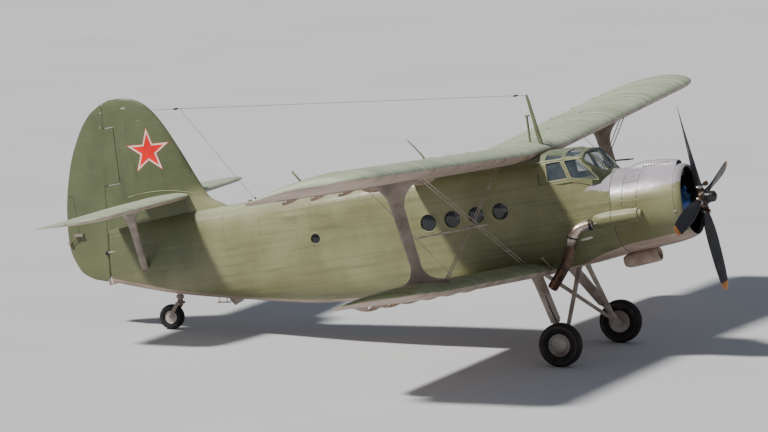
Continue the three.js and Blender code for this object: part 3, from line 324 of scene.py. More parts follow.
def interior_paint():
    shader = Shader("cabin_interior")
    dark = tint(86, 92, 86)
    patches = shader.mix(shader.patches(2.2, 5, 0.35, 0.7), tint(128, 136, 128), dark)
    frames = shader.ramp(shader.repeated("X", 0.475, -0.75), 0.02, 0.03, 1, 0)
    colour = shader.mix(frames * 0.35, patches, dark)
    height = frames + shader.noise(60, 3) * 0.1
    return shader.finished(Base_Color=colour, Roughness=shader.patches(14, 3, 0.3, 0.7, 0.6, 0.85),
                           Normal=shader.bump(height, 0.006))


def wing_fabric(name, top, top_pale, stained=False, root=1.05):
    """Doped fabric over ribs: one colour above and grey below, with a tape along each rib."""
    shader = Shader(name, Sheen_Weight=0.08)
    above = shader.ramp(shader.facing_up(), -0.22, -0.16)
    upper = shader.mix(shader.patches(1.1, 5, 0.3, 0.75, stretch=(0.35, 5, 1)), top, top_pale)
    upper = shader.mix(shader.patches(0.9, 5, 0.42, 0.7) * 0.4, upper, WING_PALE)
    if stained:
        drift = (shader.noise(0.9, 4) - 0.5) * 0.5
        slat_line = -1.15
        behind_slat = abs(shader.axis("X") + drift - slat_line)
        stain = shader.ramp(behind_slat, 0.02, 0.1, 1, 0) * shader.ramp(abs(shader.axis("Y")), 6.2, 4.2)
        upper = shader.mix(stain * 0.55, upper, LILAC_GREY)
    lower = shader.mix(shader.patches(1.4, 5, 0.34, 0.74, stretch=(0.6, 2, 1)), UNDER_GREY_WARM_BOUNCE, UNDER_DARK_WARM_BOUNCE)
    colour = shader.mix(above, lower, upper)
    rib = shader.repeated("Y", RIB_PITCH, root)
    tape = shader.ramp(rib, 0.014, 0.022, 1, 0)
    colour = shader.mix(tape * 0.16, colour, GRIME)
    weave = shader.noise(90, 4)
    stitches = (shader.ramp(rib, 0.003, 0.006, 1, 0)
                * shader.ramp(shader.repeated("X", 0.06), 0.006, 0.012, 1, 0))
    height = (tape + stitches) * 0.3 + weave * 0.12
    return shader.finished(Base_Color=colour, Normal=shader.bump(height, 0.004, 0.6),
                           Roughness=shader.patches(6, 5, 0.3, 0.75, 0.45, 0.68))


def tail_paint():
    """The fin's and rudder's darker green, with faint ribs and the outline of the trim tab."""
    shader = Shader("tail_green", Coat_Weight=0.08, Coat_Roughness=0.35)
    colour = weathered(shader, FIN_GREEN, FIN_PALE, (3, 4, 0.5))
    colour = shader.mix(shader.along("Z", 4.2, 2.6) * 0.4, colour, OLIVE)
    foot = shader.along("X", -7.45, -7.2) * shader.along("Z", 3.95, 3.6)
    colour = shader.mix(foot * 0.85, colour, OLIVE_PALE)
    ribs = shader.ramp(shader.repeated("Z", 0.36, 0.1), 0.006, 0.016, 1, 0)
    chips = shader.patches(9, 8, 0.67, 0.69) * shader.along("Z", 4.9, 5.6)
    colour = shader.mix(chips * 0.8, colour, STAR_CHIP)
    tab_x, tab_z, tab_half = -9.7, 3.62, 0.42
    tab_front = abs(shader.axis("X") - tab_x)
    from_middle = abs(shader.axis("Z") - tab_z)
    tab_end = abs(from_middle - tab_half)
    beside = shader.ramp(from_middle, tab_half - 0.002, tab_half + 0.004, 1, 0)
    behind = shader.along("X", tab_x + 0.003, tab_x - 0.003)
    front_line = shader.ramp(tab_front, 0.004, 0.009, 1, 0) * beside
    tab = shader.math("MAXIMUM", front_line, shader.ramp(tab_end, 0.004, 0.009, 1, 0) * behind)
    colour = shader.mix(tab * 0.75, colour, GRIME)
    height = (ribs - tab) * 0.2 + shader.noise(1.6, 3, (1, 1, 3)) * 0.9
    return shader.finished(Base_Color=shader.mix(ribs * 0.04, colour, GRIME),
                           Normal=shader.bump(height, 0.012, 0.5),
                           Roughness=shader.patches(5, 5, 0.3, 0.8, 0.4, 0.62))


def plain_paint(name, colour, dark, roughness=0.5, metallic=0.0, scale=3.0, wear=None):
    """A painted or metal fitting with patches of dirt, and optional worn flecks."""
    shader = Shader(name, Metallic=metallic)
    shade = shader.mix(shader.patches(scale, 6, 0.36, 0.72), tint(*colour), tint(*dark))
    if wear:
        shade = shader.mix(shader.patches(scale * 9, 7, 0.62, 0.68) * 0.7, shade, wear)
    return shader.finished(Base_Color=shade, Normal=shader.bump(shader.noise(scale * 22, 4), 0.002, 0.4),
                           Roughness=shader.patches(scale * 3, 4, 0.3, 0.7, roughness - 0.1,
                                                    roughness + 0.12))


def cowl_paint():
    """Olive sides, a faded lilac-grey top and a grey-beige underside, meeting in worn edges, with painted
    shade darkening the lip's front.
    """
    shader = Shader("cowl_skin", Metallic=0.05, Coat_Weight=0.15, Coat_Roughness=0.3)
    colour = weathered(shader, OLIVE, OLIVE_PALE)
    wander = (shader.noise(5, 6) - 0.5) * 0.05
    top = shader.ramp(shader.axis("Z") + wander, 2.488, 2.505)
    colour = shader.mix(top, colour, shader.mix(shader.patches(1.6, 6, 0.3, 0.75), LILAC_GREY, LILAC_DARK))
    colour = belly_grey(shader, colour, COWL_BELLY)
    # The lip's forward-facing front is darkened towards the nose: painted shade.
    colour = shader.mix(shader.along("X", 2.25, 2.4) * 0.35, colour, OLIVE_PAINTED_SHADE)
    oil = shader.patches(2.2, 6, 0.55, 0.8, stretch=(0.4, 2, 5)) * shader.along("Z", 2.2, 1.5)
    colour = shader.mix(oil * 0.55, colour, GRIME)
    return shader.finished(Base_Color=colour, Roughness=shader.patches(5, 5, 0.3, 0.8, 0.3, 0.52),
                           Normal=shader.bump(shader.noise(2.6, 4, (1, 2, 2)), 0.01, 0.35))


def heated_steel():
    """Exhaust pipe: bright at the bend, straw and brown with soot towards its open end."""
    shader = Shader("heated_steel", Metallic=0.92)
    colour = shader.mix(shader.patches(4, 6, 0.3, 0.7), tint(226, 212, 204), tint(176, 150, 134))
    colour = shader.mix(shader.along("Z", 1.86, 1.66), colour, tint(92, 72, 62))
    soot = shader.patches(7, 6, 0.55, 0.75, stretch=(1, 1, 0.4))
    colour = shader.mix(soot * 0.6, colour, tint(34, 26, 22))
    return shader.finished(Base_Color=colour, Roughness=shader.patches(9, 5, 0.3, 0.7, 0.22, 0.5),
                           Normal=shader.bump(shader.noise(30, 4), 0.002, 0.5))


def blade_paint():
    """Black blades with a yellow band at the tip, by distance from the hub."""
    shader = Shader("blade_paint", Coat_Weight=0.08, Coat_Roughness=0.3)
    across = shader.vector("MULTIPLY", shader.vector("SUBTRACT", shader.place(), HUB), (0.0, 1.0, 1.0))
    radius = shader.vector("LENGTH", across, output=1)
    black = shader.mix(shader.patches(3, 6, 0.4, 0.75), tint(20, 20, 26), tint(38, 38, 44))
    yellow = shader.mix(shader.patches(6, 6, 0.4, 0.7), tint(214, 136, 44), tint(150, 92, 38))
    tip = shader.ramp(radius, 1.652, 1.658)
    scuffs = shader.patches(26, 7, 0.6, 0.68) * shader.ramp(radius, 0.7, 1.7)
    colour = shader.mix(scuffs * 0.5, shader.mix(tip, black, yellow), tint(120, 120, 122))
    return shader.finished(Base_Color=colour, Roughness=shader.patches(8, 4, 0.3, 0.7, 0.42, 0.6),
                           Normal=shader.bump(shader.noise(40, 4), 0.001, 0.5))


def tyre_rubber():
    """Black rubber, dusty in patches, with a ring of brown dust round the main tyres' shoulders."""
    shader = Shader("tyre_rubber")
    dusty = shader.mix(shader.patches(6, 6, 0.4, 0.75), tint(26, 26, 27), tint(56, 53, 50))
    radius = shader.vector("LENGTH", shader.vector("MULTIPLY", shader.place(), (1.0, 0.0, 1.0)), output=1)
    ring = shader.ramp(abs(radius - 0.33), 0.006, 0.026, 1, 0)
    dusty = shader.mix(ring * shader.patches(2.5, 5, 0.3, 0.6) * 0.6, dusty, tint(104, 84, 70))
    return shader.finished(Base_Color=dusty, Roughness=shader.patches(12, 4, 0.3, 0.7, 0.7, 0.92),
                           Normal=shader.bump(shader.noise(110, 4), 0.002, 0.6))


def seat_cloth():
    shader = Shader("seat_cloth", Sheen_Weight=0.3)
    thread = 0.006
    weave = (shader.ramp(shader.repeated("Y", thread), 0, thread / 2)
             * shader.ramp(shader.repeated("Z", thread), 0, thread / 2))
    colour = shader.mix(shader.patches(5, 5, 0.35, 0.7), tint(84, 88, 66), tint(60, 62, 48))
    return shader.finished(Base_Color=shader.mix(weave * 0.25, colour, tint(40, 42, 34)),
                           Roughness=shader.patches(12, 4, 0.3, 0.7, 0.75, 0.95),
                           Normal=shader.bump(weave, 0.002, 0.8))


def window_glass(name, clear, smeared, opacity):
    """Thin glass that lets the light in, with smears and a sharp gloss."""
    shader = Shader(name, Alpha=opacity, IOR=1.5, Coat_Weight=0.6, Coat_Roughness=0.02)
    return shader.finished(Base_Color=shader.mix(shader.patches(3, 6, 0.35, 0.75), clear, smeared),
                           Roughness=shader.patches(5, 5, 0.3, 0.8, 0.03, 0.1))


OLIVE_SKIN = fuselage_paint()
INTERIOR = interior_paint()
UPPER_FABRIC = wing_fabric("upper_wing_fabric", WING_GREEN, WING_PALE, True)
LOWER_FABRIC = wing_fabric("lower_wing_fabric", tint(112, 122, 84), tint(140, 148, 108), root=0.6)
TAIL_FABRIC = wing_fabric("tailplane_skin", tint(150, 160, 138), WING_PALE, root=0.3)
TAIL_GREEN = tail_paint()
# After the name: colour, darker colour, roughness, metallic share, the grain's scale and worn flecks
STRUT_PAINT = plain_paint("strut_paint", (158, 143, 132), (120, 108, 98), wear=UNDER_GREY_WARM_BOUNCE)
STAY_PAINT = plain_paint("stay_paint", (186, 176, 164), (140, 130, 118), 0.45)
# Same warm grey-beige as the undersides: paint with a painted reflection of ground-bounce light.
UNDER_PAINT_WARM_BOUNCE = plain_paint("under_paint_warm_bounce", (190, 168, 152), (150, 128, 112), wear=GRIME)
GEAR_PAINT = plain_paint("gear_paint", (190, 178, 166), (140, 126, 114), 0.45, wear=GRIME)
WHEEL_PAINT = plain_paint("wheel_paint", (192, 184, 176), (146, 134, 122), 0.4, wear=GRIME)
CHROME_STEEL = plain_paint("bright_steel", (176, 176, 178), (128, 122, 116), 0.3, 0.9)
BRONZE = plain_paint("bronze", (140, 104, 82), (92, 66, 54), 0.45, 0.8, 6)
CASE_BLUE = plain_paint("case_blue", (46, 92, 158), (28, 56, 104), 0.38, 0.2, 5)
DOME_BLACK = plain_paint("dome_black", (22, 22, 24), (48, 46, 46), 0.3, 0.0, 6)
SOOT = plain_paint("soot", (30, 24, 20), (52, 42, 36), 0.85)
STAR_RED = plain_paint("star_red", (250, 2, 4), (216, 6, 8))
STAR_WHITE = plain_paint("star_white", (236, 234, 226), (206, 202, 190))
COWL_SKIN = cowl_paint()
HEATED = heated_steel()
BLADE = blade_paint()
RUBBER = tyre_rubber()
CLOTH = seat_cloth()
GLASS = window_glass("window_glass", tint(84, 98, 110), tint(120, 130, 136), 0.26)
# The porthole glass is near black and fairly opaque: painted shade of the cabin behind it.
PORTHOLE_GLASS_PAINTED_SHADE = window_glass("porthole_glass_painted_shade", tint(26, 30, 36), tint(46, 50, 56), 0.6)
CANOPY_ROOF = plain_paint("canopy_roof", (126, 134, 108), (98, 106, 84), 0.42)
CANOPY_PALE = plain_paint("canopy_pale", (172, 174, 134), (142, 144, 108), 0.45)
# The darker canopy olive, round the windscreen, is painted shade.
CANOPY_PAINTED_SHADE = plain_paint("canopy_painted_shade", (84, 90, 70), (60, 64, 50), 0.42)
SEAM_DARK = plain_paint("seam_dark", (56, 52, 42), (36, 34, 28), 0.7)
BELT = plain_paint("seat_belt", (118, 108, 84), (88, 80, 62), 0.85)
WIRE = plain_paint("wire", (96, 90, 92), (70, 66, 68), 0.5, 0.4)
LAMP_RED = plain_paint("lamp_red", (190, 20, 16), (150, 14, 12), 0.2)
LAMP_GREEN = plain_paint("lamp_green", (20, 130, 84), (14, 96, 60), 0.2)
ENGINE_BLACK = plain_paint("engine_black", (34, 34, 36), (62, 56, 50), 0.45, 0.35, 8, tint(90, 84, 76))
MAST_PAINT = plain_paint("mast_paint", (120, 124, 96), (92, 92, 70))


# Forms: corners and faces in the datum, each face with its material
class Form:
    def __init__(self, points=(), faces=(), paint=None):
        self.points = [Vector(point) for point in points]
        self.faces = [tuple(face) for face in faces]
        self.painted(paint)

    def painted(self, paint):
        self.paints = [paint] * len(self.faces)
        return self

    def add(self, *others):
        for other in others:
            offset = len(self.points)
            self.points += [point.copy() for point in other.points]
            self.faces += [tuple(corner + offset for corner in face) for face in other.faces]
            self.paints += other.paints
        return self

    def moved(self, matrix):
        turned = Form([matrix @ point for point in self.points], self.faces)
        if matrix.determinant() < 0:
            turned.faces = [face[::-1] for face in turned.faces]
        turned.paints = list(self.paints)
        return turned

    def mirrored(self):
        return self.moved(Matrix.Diagonal((1, -1, 1, 1)))

    def on(self, side):
        return self if side == "left" else self.mirrored()


def combined(*forms):
    return Form().add(*forms)


def material_slot(node):
    return next(row["material_slot"] for row in frame["record"]["subparts"] if row["node"] == node)


def body_of(node):
    return next(body for body, nodes in frame["record"]["behaviour"]["bodies"].items() if node in nodes)


def linked(name, form):
    """A form becomes an object in the scene."""
    mesh = bpy.data.meshes.new(name)
    mesh.from_pydata(form.points, [], form.faces)
    paints = list(dict.fromkeys(form.paints))
    for paint in paints:
        mesh.materials.append(paint)
    mesh.polygons.foreach_set("material_index", [paints.index(paint) for paint in form.paints])
    made = bpy.data.objects.new(name, mesh)
    bpy.context.scene.collection.objects.link(made)
    return made


def piece(name, form, node=None, body=None, slot=None, sharp=35):
    """A form becomes a shown object that rides on its body and stands for the node that it replaces."""
    made = linked(name, form.moved(DATUM))
    made.data.shade_smooth()
    made.data.set_sharp_from_angle(angle=math.radians(sharp))
    made.data.update()
    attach(made, body or (body_of(node) if node else "airframe"))
    if node:
        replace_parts(made, node)
    slot or material_slot(node)
    return made


def pair(name, form, node=None, **settings):
    """A piece to port and its mirror image to starboard."""
    for side in SIDES:
        piece(f"{name}_{side}", form.on(side), node and f"{node}_{side}", **settings)


def node_form(node, paint):
    """A node's own shape as a form in the datum, its doubled corners merged."""
    merge = 0.0002
    mesh = frame["nodes"][node].data
    seen, points, index = {}, [], []
    for vertex in mesh.vertices:
        key = tuple(round(value / merge) for value in vertex.co)
        if key not in seen:
            seen[key] = len(points)
            points.append(TO_DATUM @ vertex.co)
        index.append(seen[key])
    faces = [tuple(index[corner] for corner in polygon.vertices) for polygon in mesh.polygons]
    return Form(points, [face for face in faces if len(set(face)) == len(face)], paint)


# Shapes shared by many pieces
def outward(form):
    """The form, its faces turned over if they look inward."""
    volume = 0
    for face in form.faces:
        first, *others = [form.points[corner] for corner in face]
        for a, b in zip(others, others[1:]):
            volume += first.dot(a.cross(b))
    if volume < 0:
        form.faces = [face[::-1] for face in form.faces]
    return form


def ring_loft(rings, paint):
    """Rings with equal numbers of corners become one closed skin."""
    count = len(rings[0])
    last = (len(rings) - 1) * count
    faces = []
    for base in range(0, last, count):
        for i in range(count):
            a, b = base + i, base + (i + 1) % count
            faces.append((a, b, b + count, a + count))
    faces += [tuple(range(count))[::-1], tuple(range(last, last + count))]
    return outward(Form([point for ring in rings for point in ring], faces, paint))


def smooth_rows(rows, stations):
    """Rows are followed without overshoot by a cubic through their first column."""
    rows = sorted(rows)
    places = [row[0] for row in rows]
    slopes = []
    for values in list(zip(*rows))[1:]:
        steps = [(b - a) / (q - p) for a, b, p, q in zip(values, values[1:], places, places[1:])]
        inner = [0 if a * b <= 0 else 2 * a * b / (a + b) for a, b in zip(steps, steps[1:])]
        slopes.append([steps[0], *inner, steps[-1]])
    made = []
    for place in stations:
        i = max(0, min(len(rows) - 2, sum(1 for p in places if p <= place) - 1))
        width = places[i + 1] - places[i]
        t = (place - places[i]) / width
        row = [place]
        for column, slope in enumerate(slopes, 1):
            a, b = rows[i][column], rows[i + 1][column]
            row.append((1 + 2 * t) * (1 - t) ** 2 * a + t * (1 - t) ** 2 * width * slope[i]
                       + t * t * (3 - 2 * t) * b + t * t * (t - 1) * width * slope[i + 1])
        made.append(row)
    return made


def spaced(start, end, count):
    return [start + (end - start) * i / count for i in range(count + 1)]


def halfway(start, end, count):
    return [start + (end - start) * (i + 0.5) / count for i in range(count)]


def box_form(low, high, paint=None):
    corners = [(x, y, z) for z in (low[2], high[2]) for y in (low[1], high[1]) for x in (low[0], high[0])]
    faces = [(0, 2, 3, 1), (4, 5, 7, 6), (0, 1, 5, 4), (2, 6, 7, 3), (0, 4, 6, 2), (1, 3, 7, 5)]
    return Form(corners, faces, paint)


def across(direction):
    """Two directions square to a third: the first lies nearest to forward, or else to up."""
    guide = Vector(ALONG_Z if abs(direction.x) > 0.8 else ALONG_X)
    depth = direction.cross(guide).normalized()
    return depth.cross(direction).normalized(), depth


def ellipse(centre, width_axis, depth_axis, width, depth, sides):
    turns = [math.tau * i / sides for i in range(sides)]
    return [centre + width_axis * (math.cos(t) * width / 2) + depth_axis * (math.sin(t) * depth / 2)
            for t in turns]


def bar(start, end, width, depth, paint, sides=20, end_scale=1.0):
    """A straight bar with an oval section, which may taper towards its end."""
    start, end = Vector(start), Vector(end)
    axes = across((end - start).normalized())
    return ring_loft([ellipse(start, *axes, width, depth, sides),
                      ellipse(end, *axes, width * end_scale, depth * end_scale, sides)], paint)


def rod(start, end, width, paint, sides=20):
    return bar(start, end, width, width, paint, sides)


def tube(points, radius, paint, sides=16):
    """A round bar along a path; the radius may follow the path too."""
    points = [Vector(point) for point in points]
    radii = radius if isinstance(radius, list) else [radius] * len(points)
    rings = []
    side = across((points[1] - points[0]).normalized())[0]
    for i, point in enumerate(points):
        ahead = (points[min(i + 1, len(points) - 1)] - points[max(i - 1, 0)]).normalized()
        side = (side - ahead * side.dot(ahead)).normalized()
        rings.append(ellipse(point, side, ahead.cross(side), radii[i] * 2, radii[i] * 2, sides))
    return ring_loft(rings, paint)


def bent(points, steps=6):
    """A smooth path through a few points."""
    points = [Vector(point) for point in points]
    path = []
    for before, a, b, after in zip(points[:1] + points, points, points[1:], points[2:] + points[-1:]):
        for step in range(steps):
            t = step / steps
            path.append(0.5 * (2 * a + (b - before) * t + (2 * before - 5 * a + 4 * b - after) * t * t
                               + (3 * a - before - 3 * b + after) * t ** 3))
    return [*path, points[-1]]


def lathe(rows, paint, axis, centre, segments, ring=False):
    """A body of revolution. Rows are distance along the axis and radius, and a ring's rows close on it."""
    axis = Vector(axis).normalized()
    first = across(axis)[0]
    turn = Matrix((first, axis.cross(first), axis)).transposed().to_4x4()
    place = Matrix.Translation(Vector(centre)) @ turn
    turns = [math.tau * i / segments for i in range(segments)]
    points, index, faces = [], [], []
    for distance, radius in rows:
        corners = turns if radius else turns[:1]
        index.append([len(points) + i % len(corners) for i in range(segments)])
        points += [place @ Vector((radius * math.cos(t), radius * math.sin(t), distance)) for t in corners]
    for a, b in zip(index, index[1:] + index[:1] * ring):
        for i in range(segments):
            j = (i + 1) % segments
            face = list(dict.fromkeys((a[i], a[j], b[j], b[i])))
            if len(face) > 2:
                faces.append(face)
    return outward(Form(points, faces, paint))


def quadratic(start, control, end, steps=8):
    start, control, end = Vector(start), Vector(control), Vector(end)
    return [start.lerp(control, t).lerp(control.lerp(end, t), t) for t in spaced(0, 1, steps)]


def rounded(corners, radius, steps=4):
    """Rows or outline points with each inner corner rounded off."""
    corners = [Vector(corner) for corner in corners]
    path = corners[:1]
    for before, corner, after in zip(corners, corners[1:], corners[2:]):
        reach = min(radius, (before - corner).length / 2, (after - corner).length / 2)
        ends = [corner + (other - corner).normalized() * reach for other in (before, after)]
        path += quadratic(ends[0], corner, ends[1], steps)
    return path + corners[-1:]


def grown(outline, distance):
    """An outline's points moved away from its middle."""
    outline = [Vector(point) for point in outline]
    centre = sum(outline, Vector((0, 0))) / len(outline)
    return [point + (point - centre).normalized() * distance for point in outline]


def plate(outline, y0, y1, paint=None, edge=0.0):
    """An outline in X and Z made from y0 to y1 thick, its rims drawn in by the edge."""
    rows = [(y0, edge), (y0 + edge, 0), (y1 - edge, 0), (y1, edge)] if edge else [(y0, 0), (y1, 0)]
    rings = [[Vector((point.x, y, point.y)) for point in grown(outline, -inset)] for y, inset in rows]
    return ring_loft(rings, paint)


def turned_about(centre, axis, angle):
    centre = Vector(centre)
    return Matrix.Translation(centre) @ Matrix.Rotation(angle, 4, axis) @ Matrix.Translation(-centre)


def evaluated_mesh(made):
    bpy.context.view_layer.update()
    return bpy.data.meshes.new_from_object(made.evaluated_get(bpy.context.evaluated_depsgraph_get()))


def shaped(base, operation, *others):
    """The base with others cut away (DIFFERENCE), kept where they meet (INTERSECT) or joined on (UNION)."""
    target, *tools = [linked("temporary", form) for form in (base, *others)]
    for tool in tools:
        modifier = target.modifiers.new("shape", "BOOLEAN")
        modifier.solver, modifier.operation, modifier.object = "MANIFOLD", operation, tool
    mesh = evaluated_mesh(target)
    form = Form([vertex.co for vertex in mesh.vertices], [polygon.vertices for polygon in mesh.polygons],
                base.paints[0])
    for leftover in [target, *tools]:
        bpy.data.meshes.remove(leftover.data)
    bpy.data.meshes.remove(mesh)
    return form


def cut(base, *others):
    return shaped(base, "DIFFERENCE", *others)


def kept(base, *others):
    return shaped(base, "INTERSECT", *others)


# Aerofoils and wings
FAR = 20.0
GAP = 0.006
TIP_LENGTH = 0.62
BAY_PARTS = 4


def half_thickness(s):
    return 5 * (0.2969 * math.sqrt(s) - 0.126 * s - 0.3516 * s ** 2 + 0.2843 * s ** 3 - 0.1015 * s ** 4)


def camber(s):
    height, at = 0.035, 0.4
    if s < at:
        return height / at ** 2 * (2 * at * s - s * s)
    return height / (1 - at) ** 2 * (1 - 2 * at + 2 * at * s - s * s)


def aerofoil(chord, thickness, cambered, sag=0.0, count=20):
    """Distance behind the leading edge and height, over the top and back below. Fabric sags between ribs."""
    shares = [(1 - math.cos(math.pi * i / count)) / 2 for i in range(count + 1)]

    def point(s, sign):
        slack = sag * min(1, max(0, (s - 0.14) * 12)) * min(1, (1 - s) * 12)
        middle = camber(s) * chord if cambered else 0
        return s * chord, middle + sign * (thickness * half_thickness(s) * chord - slack)
    return [point(s, 1) for s in reversed(shares)] + [point(s, -1) for s in shares[1:]]


def wing_ring(x, y, z, *shape):
    """An aerofoil as a ring, with its leading edge at a place."""
    return [Vector((x - back, y, z + up)) for back, up in aerofoil(*shape)]


def wing_stations(start, end, pitch=RIB_PITCH):
    """Span stations with several to each bay, and each one's share of the fabric's sag."""
    bays = math.ceil((end - start) / pitch)
    return [(min(end, start + i * pitch / BAY_PARTS), math.sin(math.pi * i / BAY_PARTS) ** 2)
            for i in range(bays * BAY_PARTS + 1)]


def wing_form(wing, paint):
    """A whole wing panel in its own frame, with its rounded tip."""
    span, chord = (wing["tip"] - wing["root"]) / math.cos(DIHEDRAL), wing["chord"]
    rows = [(y, sag, 0.0) for y, sag in wing_stations(-0.06, span - TIP_LENGTH)]
    rows += [(span - TIP_LENGTH + TIP_LENGTH * math.sin(turn), 0, math.sin(turn))
             for turn in spaced(0.12, math.pi / 2, 11)]
    rings = []
    for y, sag, t in rows:
        drawn_in = 1 - math.sqrt(max(0, 1 - t * t))
        lead = -0.3 * chord * drawn_in ** 1.15
        trail = -chord * (1 - 0.14 * drawn_in ** 1.2)
        rings.append(wing_ring(lead, y, 0.022 * chord * t ** 1.3, lead - trail,
                               WING_THICKNESS * (1 - 0.8 * drawn_in), True, FABRIC_SAG * sag))
    return ring_loft(rings, paint)


def panel_place(wing, side="left"):
    sign = SIDES[side]
    return (Matrix.Translation((wing["x"], sign * wing["root"], wing["z"]))
            @ Matrix.Rotation(sign * DIHEDRAL, 4, "X") @ Matrix.Rotation(-wing["incidence"], 4, "Y"))


def zone(x0, x1, y0, y1):
    return box_form((x0, y0, -FAR), (x1, y1, FAR))


def slab(bottom, top):
    return box_form((-FAR, -FAR, bottom), (FAR, FAR, top))


def underside(wing, x):
    s = -x / wing["chord"]
    return wing["chord"] * (camber(s) - WING_THICKNESS * half_thickness(s))


SLAT = {"depth": 0.25, "y0": 0.2, "y1": 7.56}
AILERON = {"x": -1.85, "y0": 3.72, "y1": 7.6, "nose": 0.078, "z": 0.03, "hinges": (4.85, 6.15, 7.45)}
UPPER_FLAP = {"x": -1.85, "y0": 0.2, "y1": 3.69, "drop": 0.075, "brackets": 3}
LOWER_FLAP = {"x": -1.45, "y0": 0.52, "y1": 6.25, "drop": 0.065, "brackets": 6}


def flap_bracket(wing, flap, y):
    """The arm under the wing and the horn under the flap, side by side on the flap's hinge line."""
    x = flap["x"]
    top = underside(wing, x + 0.26) + 0.02
    low = underside(wing, x) - flap["drop"]
    arm = [*quadratic((x + 0.3, top), (x + 0.2, low - 0.025), (x, low - 0.022)), (x - 0.008, low + 0.012),
           (x + 0.06, top)]
    back = x - 0.3
    horn = [(x - 0.005, low - 0.02),
            *quadratic((x - 0.006, low - 0.021), (x - 0.15, low - 0.015),
                       (back, underside(wing, back) + 0.015)),
            (x - 0.03, underside(wing, x - 0.03) + 0.025), (x - 0.005, low + 0.018)]
    rows = ((arm, y - 0.03, y, y), (horn, y + 0.0005, y + 0.03, y + 0.034))
    return [combined(plate(outline, start, end, UNDER_PAINT_WARM_BOUNCE, 0.004),
                     rod((x, start, low), (x, boss_end, low), 0.044, UNDER_PAINT_WARM_BOUNCE))
            for outline, start, end, boss_end in rows]


def flap_zone(flap, inset=0.0):
    return zone(-FAR, flap["x"] - 0.01 - inset, flap["y0"] + inset, flap["y1"] - inset)


def slotted_flap(whole, wing, flap):
    """The brackets' arms for the wing, and the flap with its horns."""
    brackets = [flap_bracket(wing, flap, y) for y in halfway(flap["y0"], flap["y1"], flap["brackets"])]
    arms, horns = zip(*brackets)
    return arms, combined(kept(whole, flap_zone(flap, GAP)), *horns)


def aileron_arm(y):
    """A curved arm under the wing that carries one of the aileron's hinges."""
    front, rear, low, high, half = -1.5, -1.856, -0.118, -0.066, 0.014
    bay = AILERON["x"] + AILERON["nose"] + 0.012
    outline = [*quadratic((front, underside(UPPER, front) + 0.015), (front - 0.11, low), (rear, low), 12),
               (rear, high), (bay, high), (bay, underside(UPPER, bay) + 0.015)]
    return plate(outline, y - half, y + half, UNDER_PAINT_WARM_BOUNCE, 0.003)


def slat_track(y):
    """A bar that stands out of the wing's nose, inside the slat until it slides forward."""
    droop = math.radians(25)
    start = Vector((-0.29, y, 0.075))
    end = start + Vector((math.cos(droop), 0, -math.sin(droop))) * 0.19
    return bar(start, end, 0.022, 0.026, GEAR_PAINT, 8)


def upper_wing():
    whole = wing_form(UPPER, UPPER_FABRIC)
    arms, flap = slotted_flap(whole, UPPER, UPPER_FLAP)
    x, y0, y1 = AILERON["x"], AILERON["y0"], AILERON["y1"]
    inboard = box_form((-FAR, -FAR, -FAR), (FAR, UPPER["root"], FAR)).moved(panel_place(UPPER).inverted())
    fixed = cut(whole, flap_zone(UPPER_FLAP), zone(-FAR, x + AILERON["nose"] + GAP, y0, y1),
                zone(-SLAT["depth"], FAR, SLAT["y0"], SLAT["y1"]), inboard)
    slat = kept(whole, zone(-SLAT["depth"], FAR, SLAT["y0"] + GAP, SLAT["y1"] - GAP))
    aileron = kept(whole, zone(-FAR, x, y0 + GAP, y1 - GAP))
    nose = rod((x, y0 + GAP, AILERON["z"]), (x, y1 - GAP, AILERON["z"]), AILERON["nose"] * 2, UPPER_FABRIC,
               32)
    tracks = [slat_track(y) for y in halfway(SLAT["y0"], SLAT["y1"], 4)]
    return {"upper_wing": combined(fixed, *arms, *[aileron_arm(y) for y in AILERON["hinges"]], *tracks),
            "slat": slat, "aileron": combined(aileron, nose), "upper_flap": flap}


def lower_wing(body_skin):
    whole = wing_form(LOWER, LOWER_FABRIC)
    arms, flap = slotted_flap(whole, LOWER, LOWER_FLAP)
    fixed = cut(whole, flap_zone(LOWER_FLAP), body_skin.moved(panel_place(LOWER).inverted()))
    return {"lower_wing": combined(fixed, *arms), "lower_flap": flap}


def build_wings():
    root_skin = hull(0.6, CABIN_END, 30, OLIVE_SKIN)
    for wing, parts in ((UPPER, upper_wing()), (LOWER, lower_wing(root_skin))):
        for name, form in parts.items():
            pair(f"{name}_skin", form.moved(panel_place(wing)), name, sharp=40)
    half = UPPER["root"] - 0.001
    centre = ring_loft([wing_ring(0, y, 0, UPPER["chord"], WING_THICKNESS, True, FABRIC_SAG * sag * 0.5)
                        for y, sag in wing_stations(-half, half, half * 2 / 7)], UPPER_FABRIC)
    place = Matrix.Translation((UPPER["x"], 0, UPPER["z"])) @ Matrix.Rotation(-UPPER["incidence"], 4, "Y")
    piece("centre_section_skin", centre.moved(place), "upper_centre_section")


# Fuselage
HULL_STEPS = 52
WALL = 0.06
FLOOR_Z, CEILING_Z, SILL_Z = 1.4, 3.19, 2.87
COCKPIT_REAR, COCKPIT_FRONT = -0.16, 0.985
BODY_SIDE_Y = 1.2
# Columns are x, z and radius.
PORTHOLES = [(-0.985, 2.515, 0.165), (-1.458, 2.515, 0.165), (-1.931, 2.515, 0.165), (-2.404, 2.515, 0.165),
             (-4.683, 2.566, 0.1)]
DOOR_WINDOW = (-3.33, 2.44, 0.15)
# A door's rear and front x, bottom and top z
CARGO_DOOR = (-4.55, -2.95, 1.44, 2.97)
CABIN_DOOR = (-3.86, -3.04, 1.51, 2.87)
CABIN_DOOR_HINGES = (1.8, 2.6)
JOINT_GAP = 0.0003


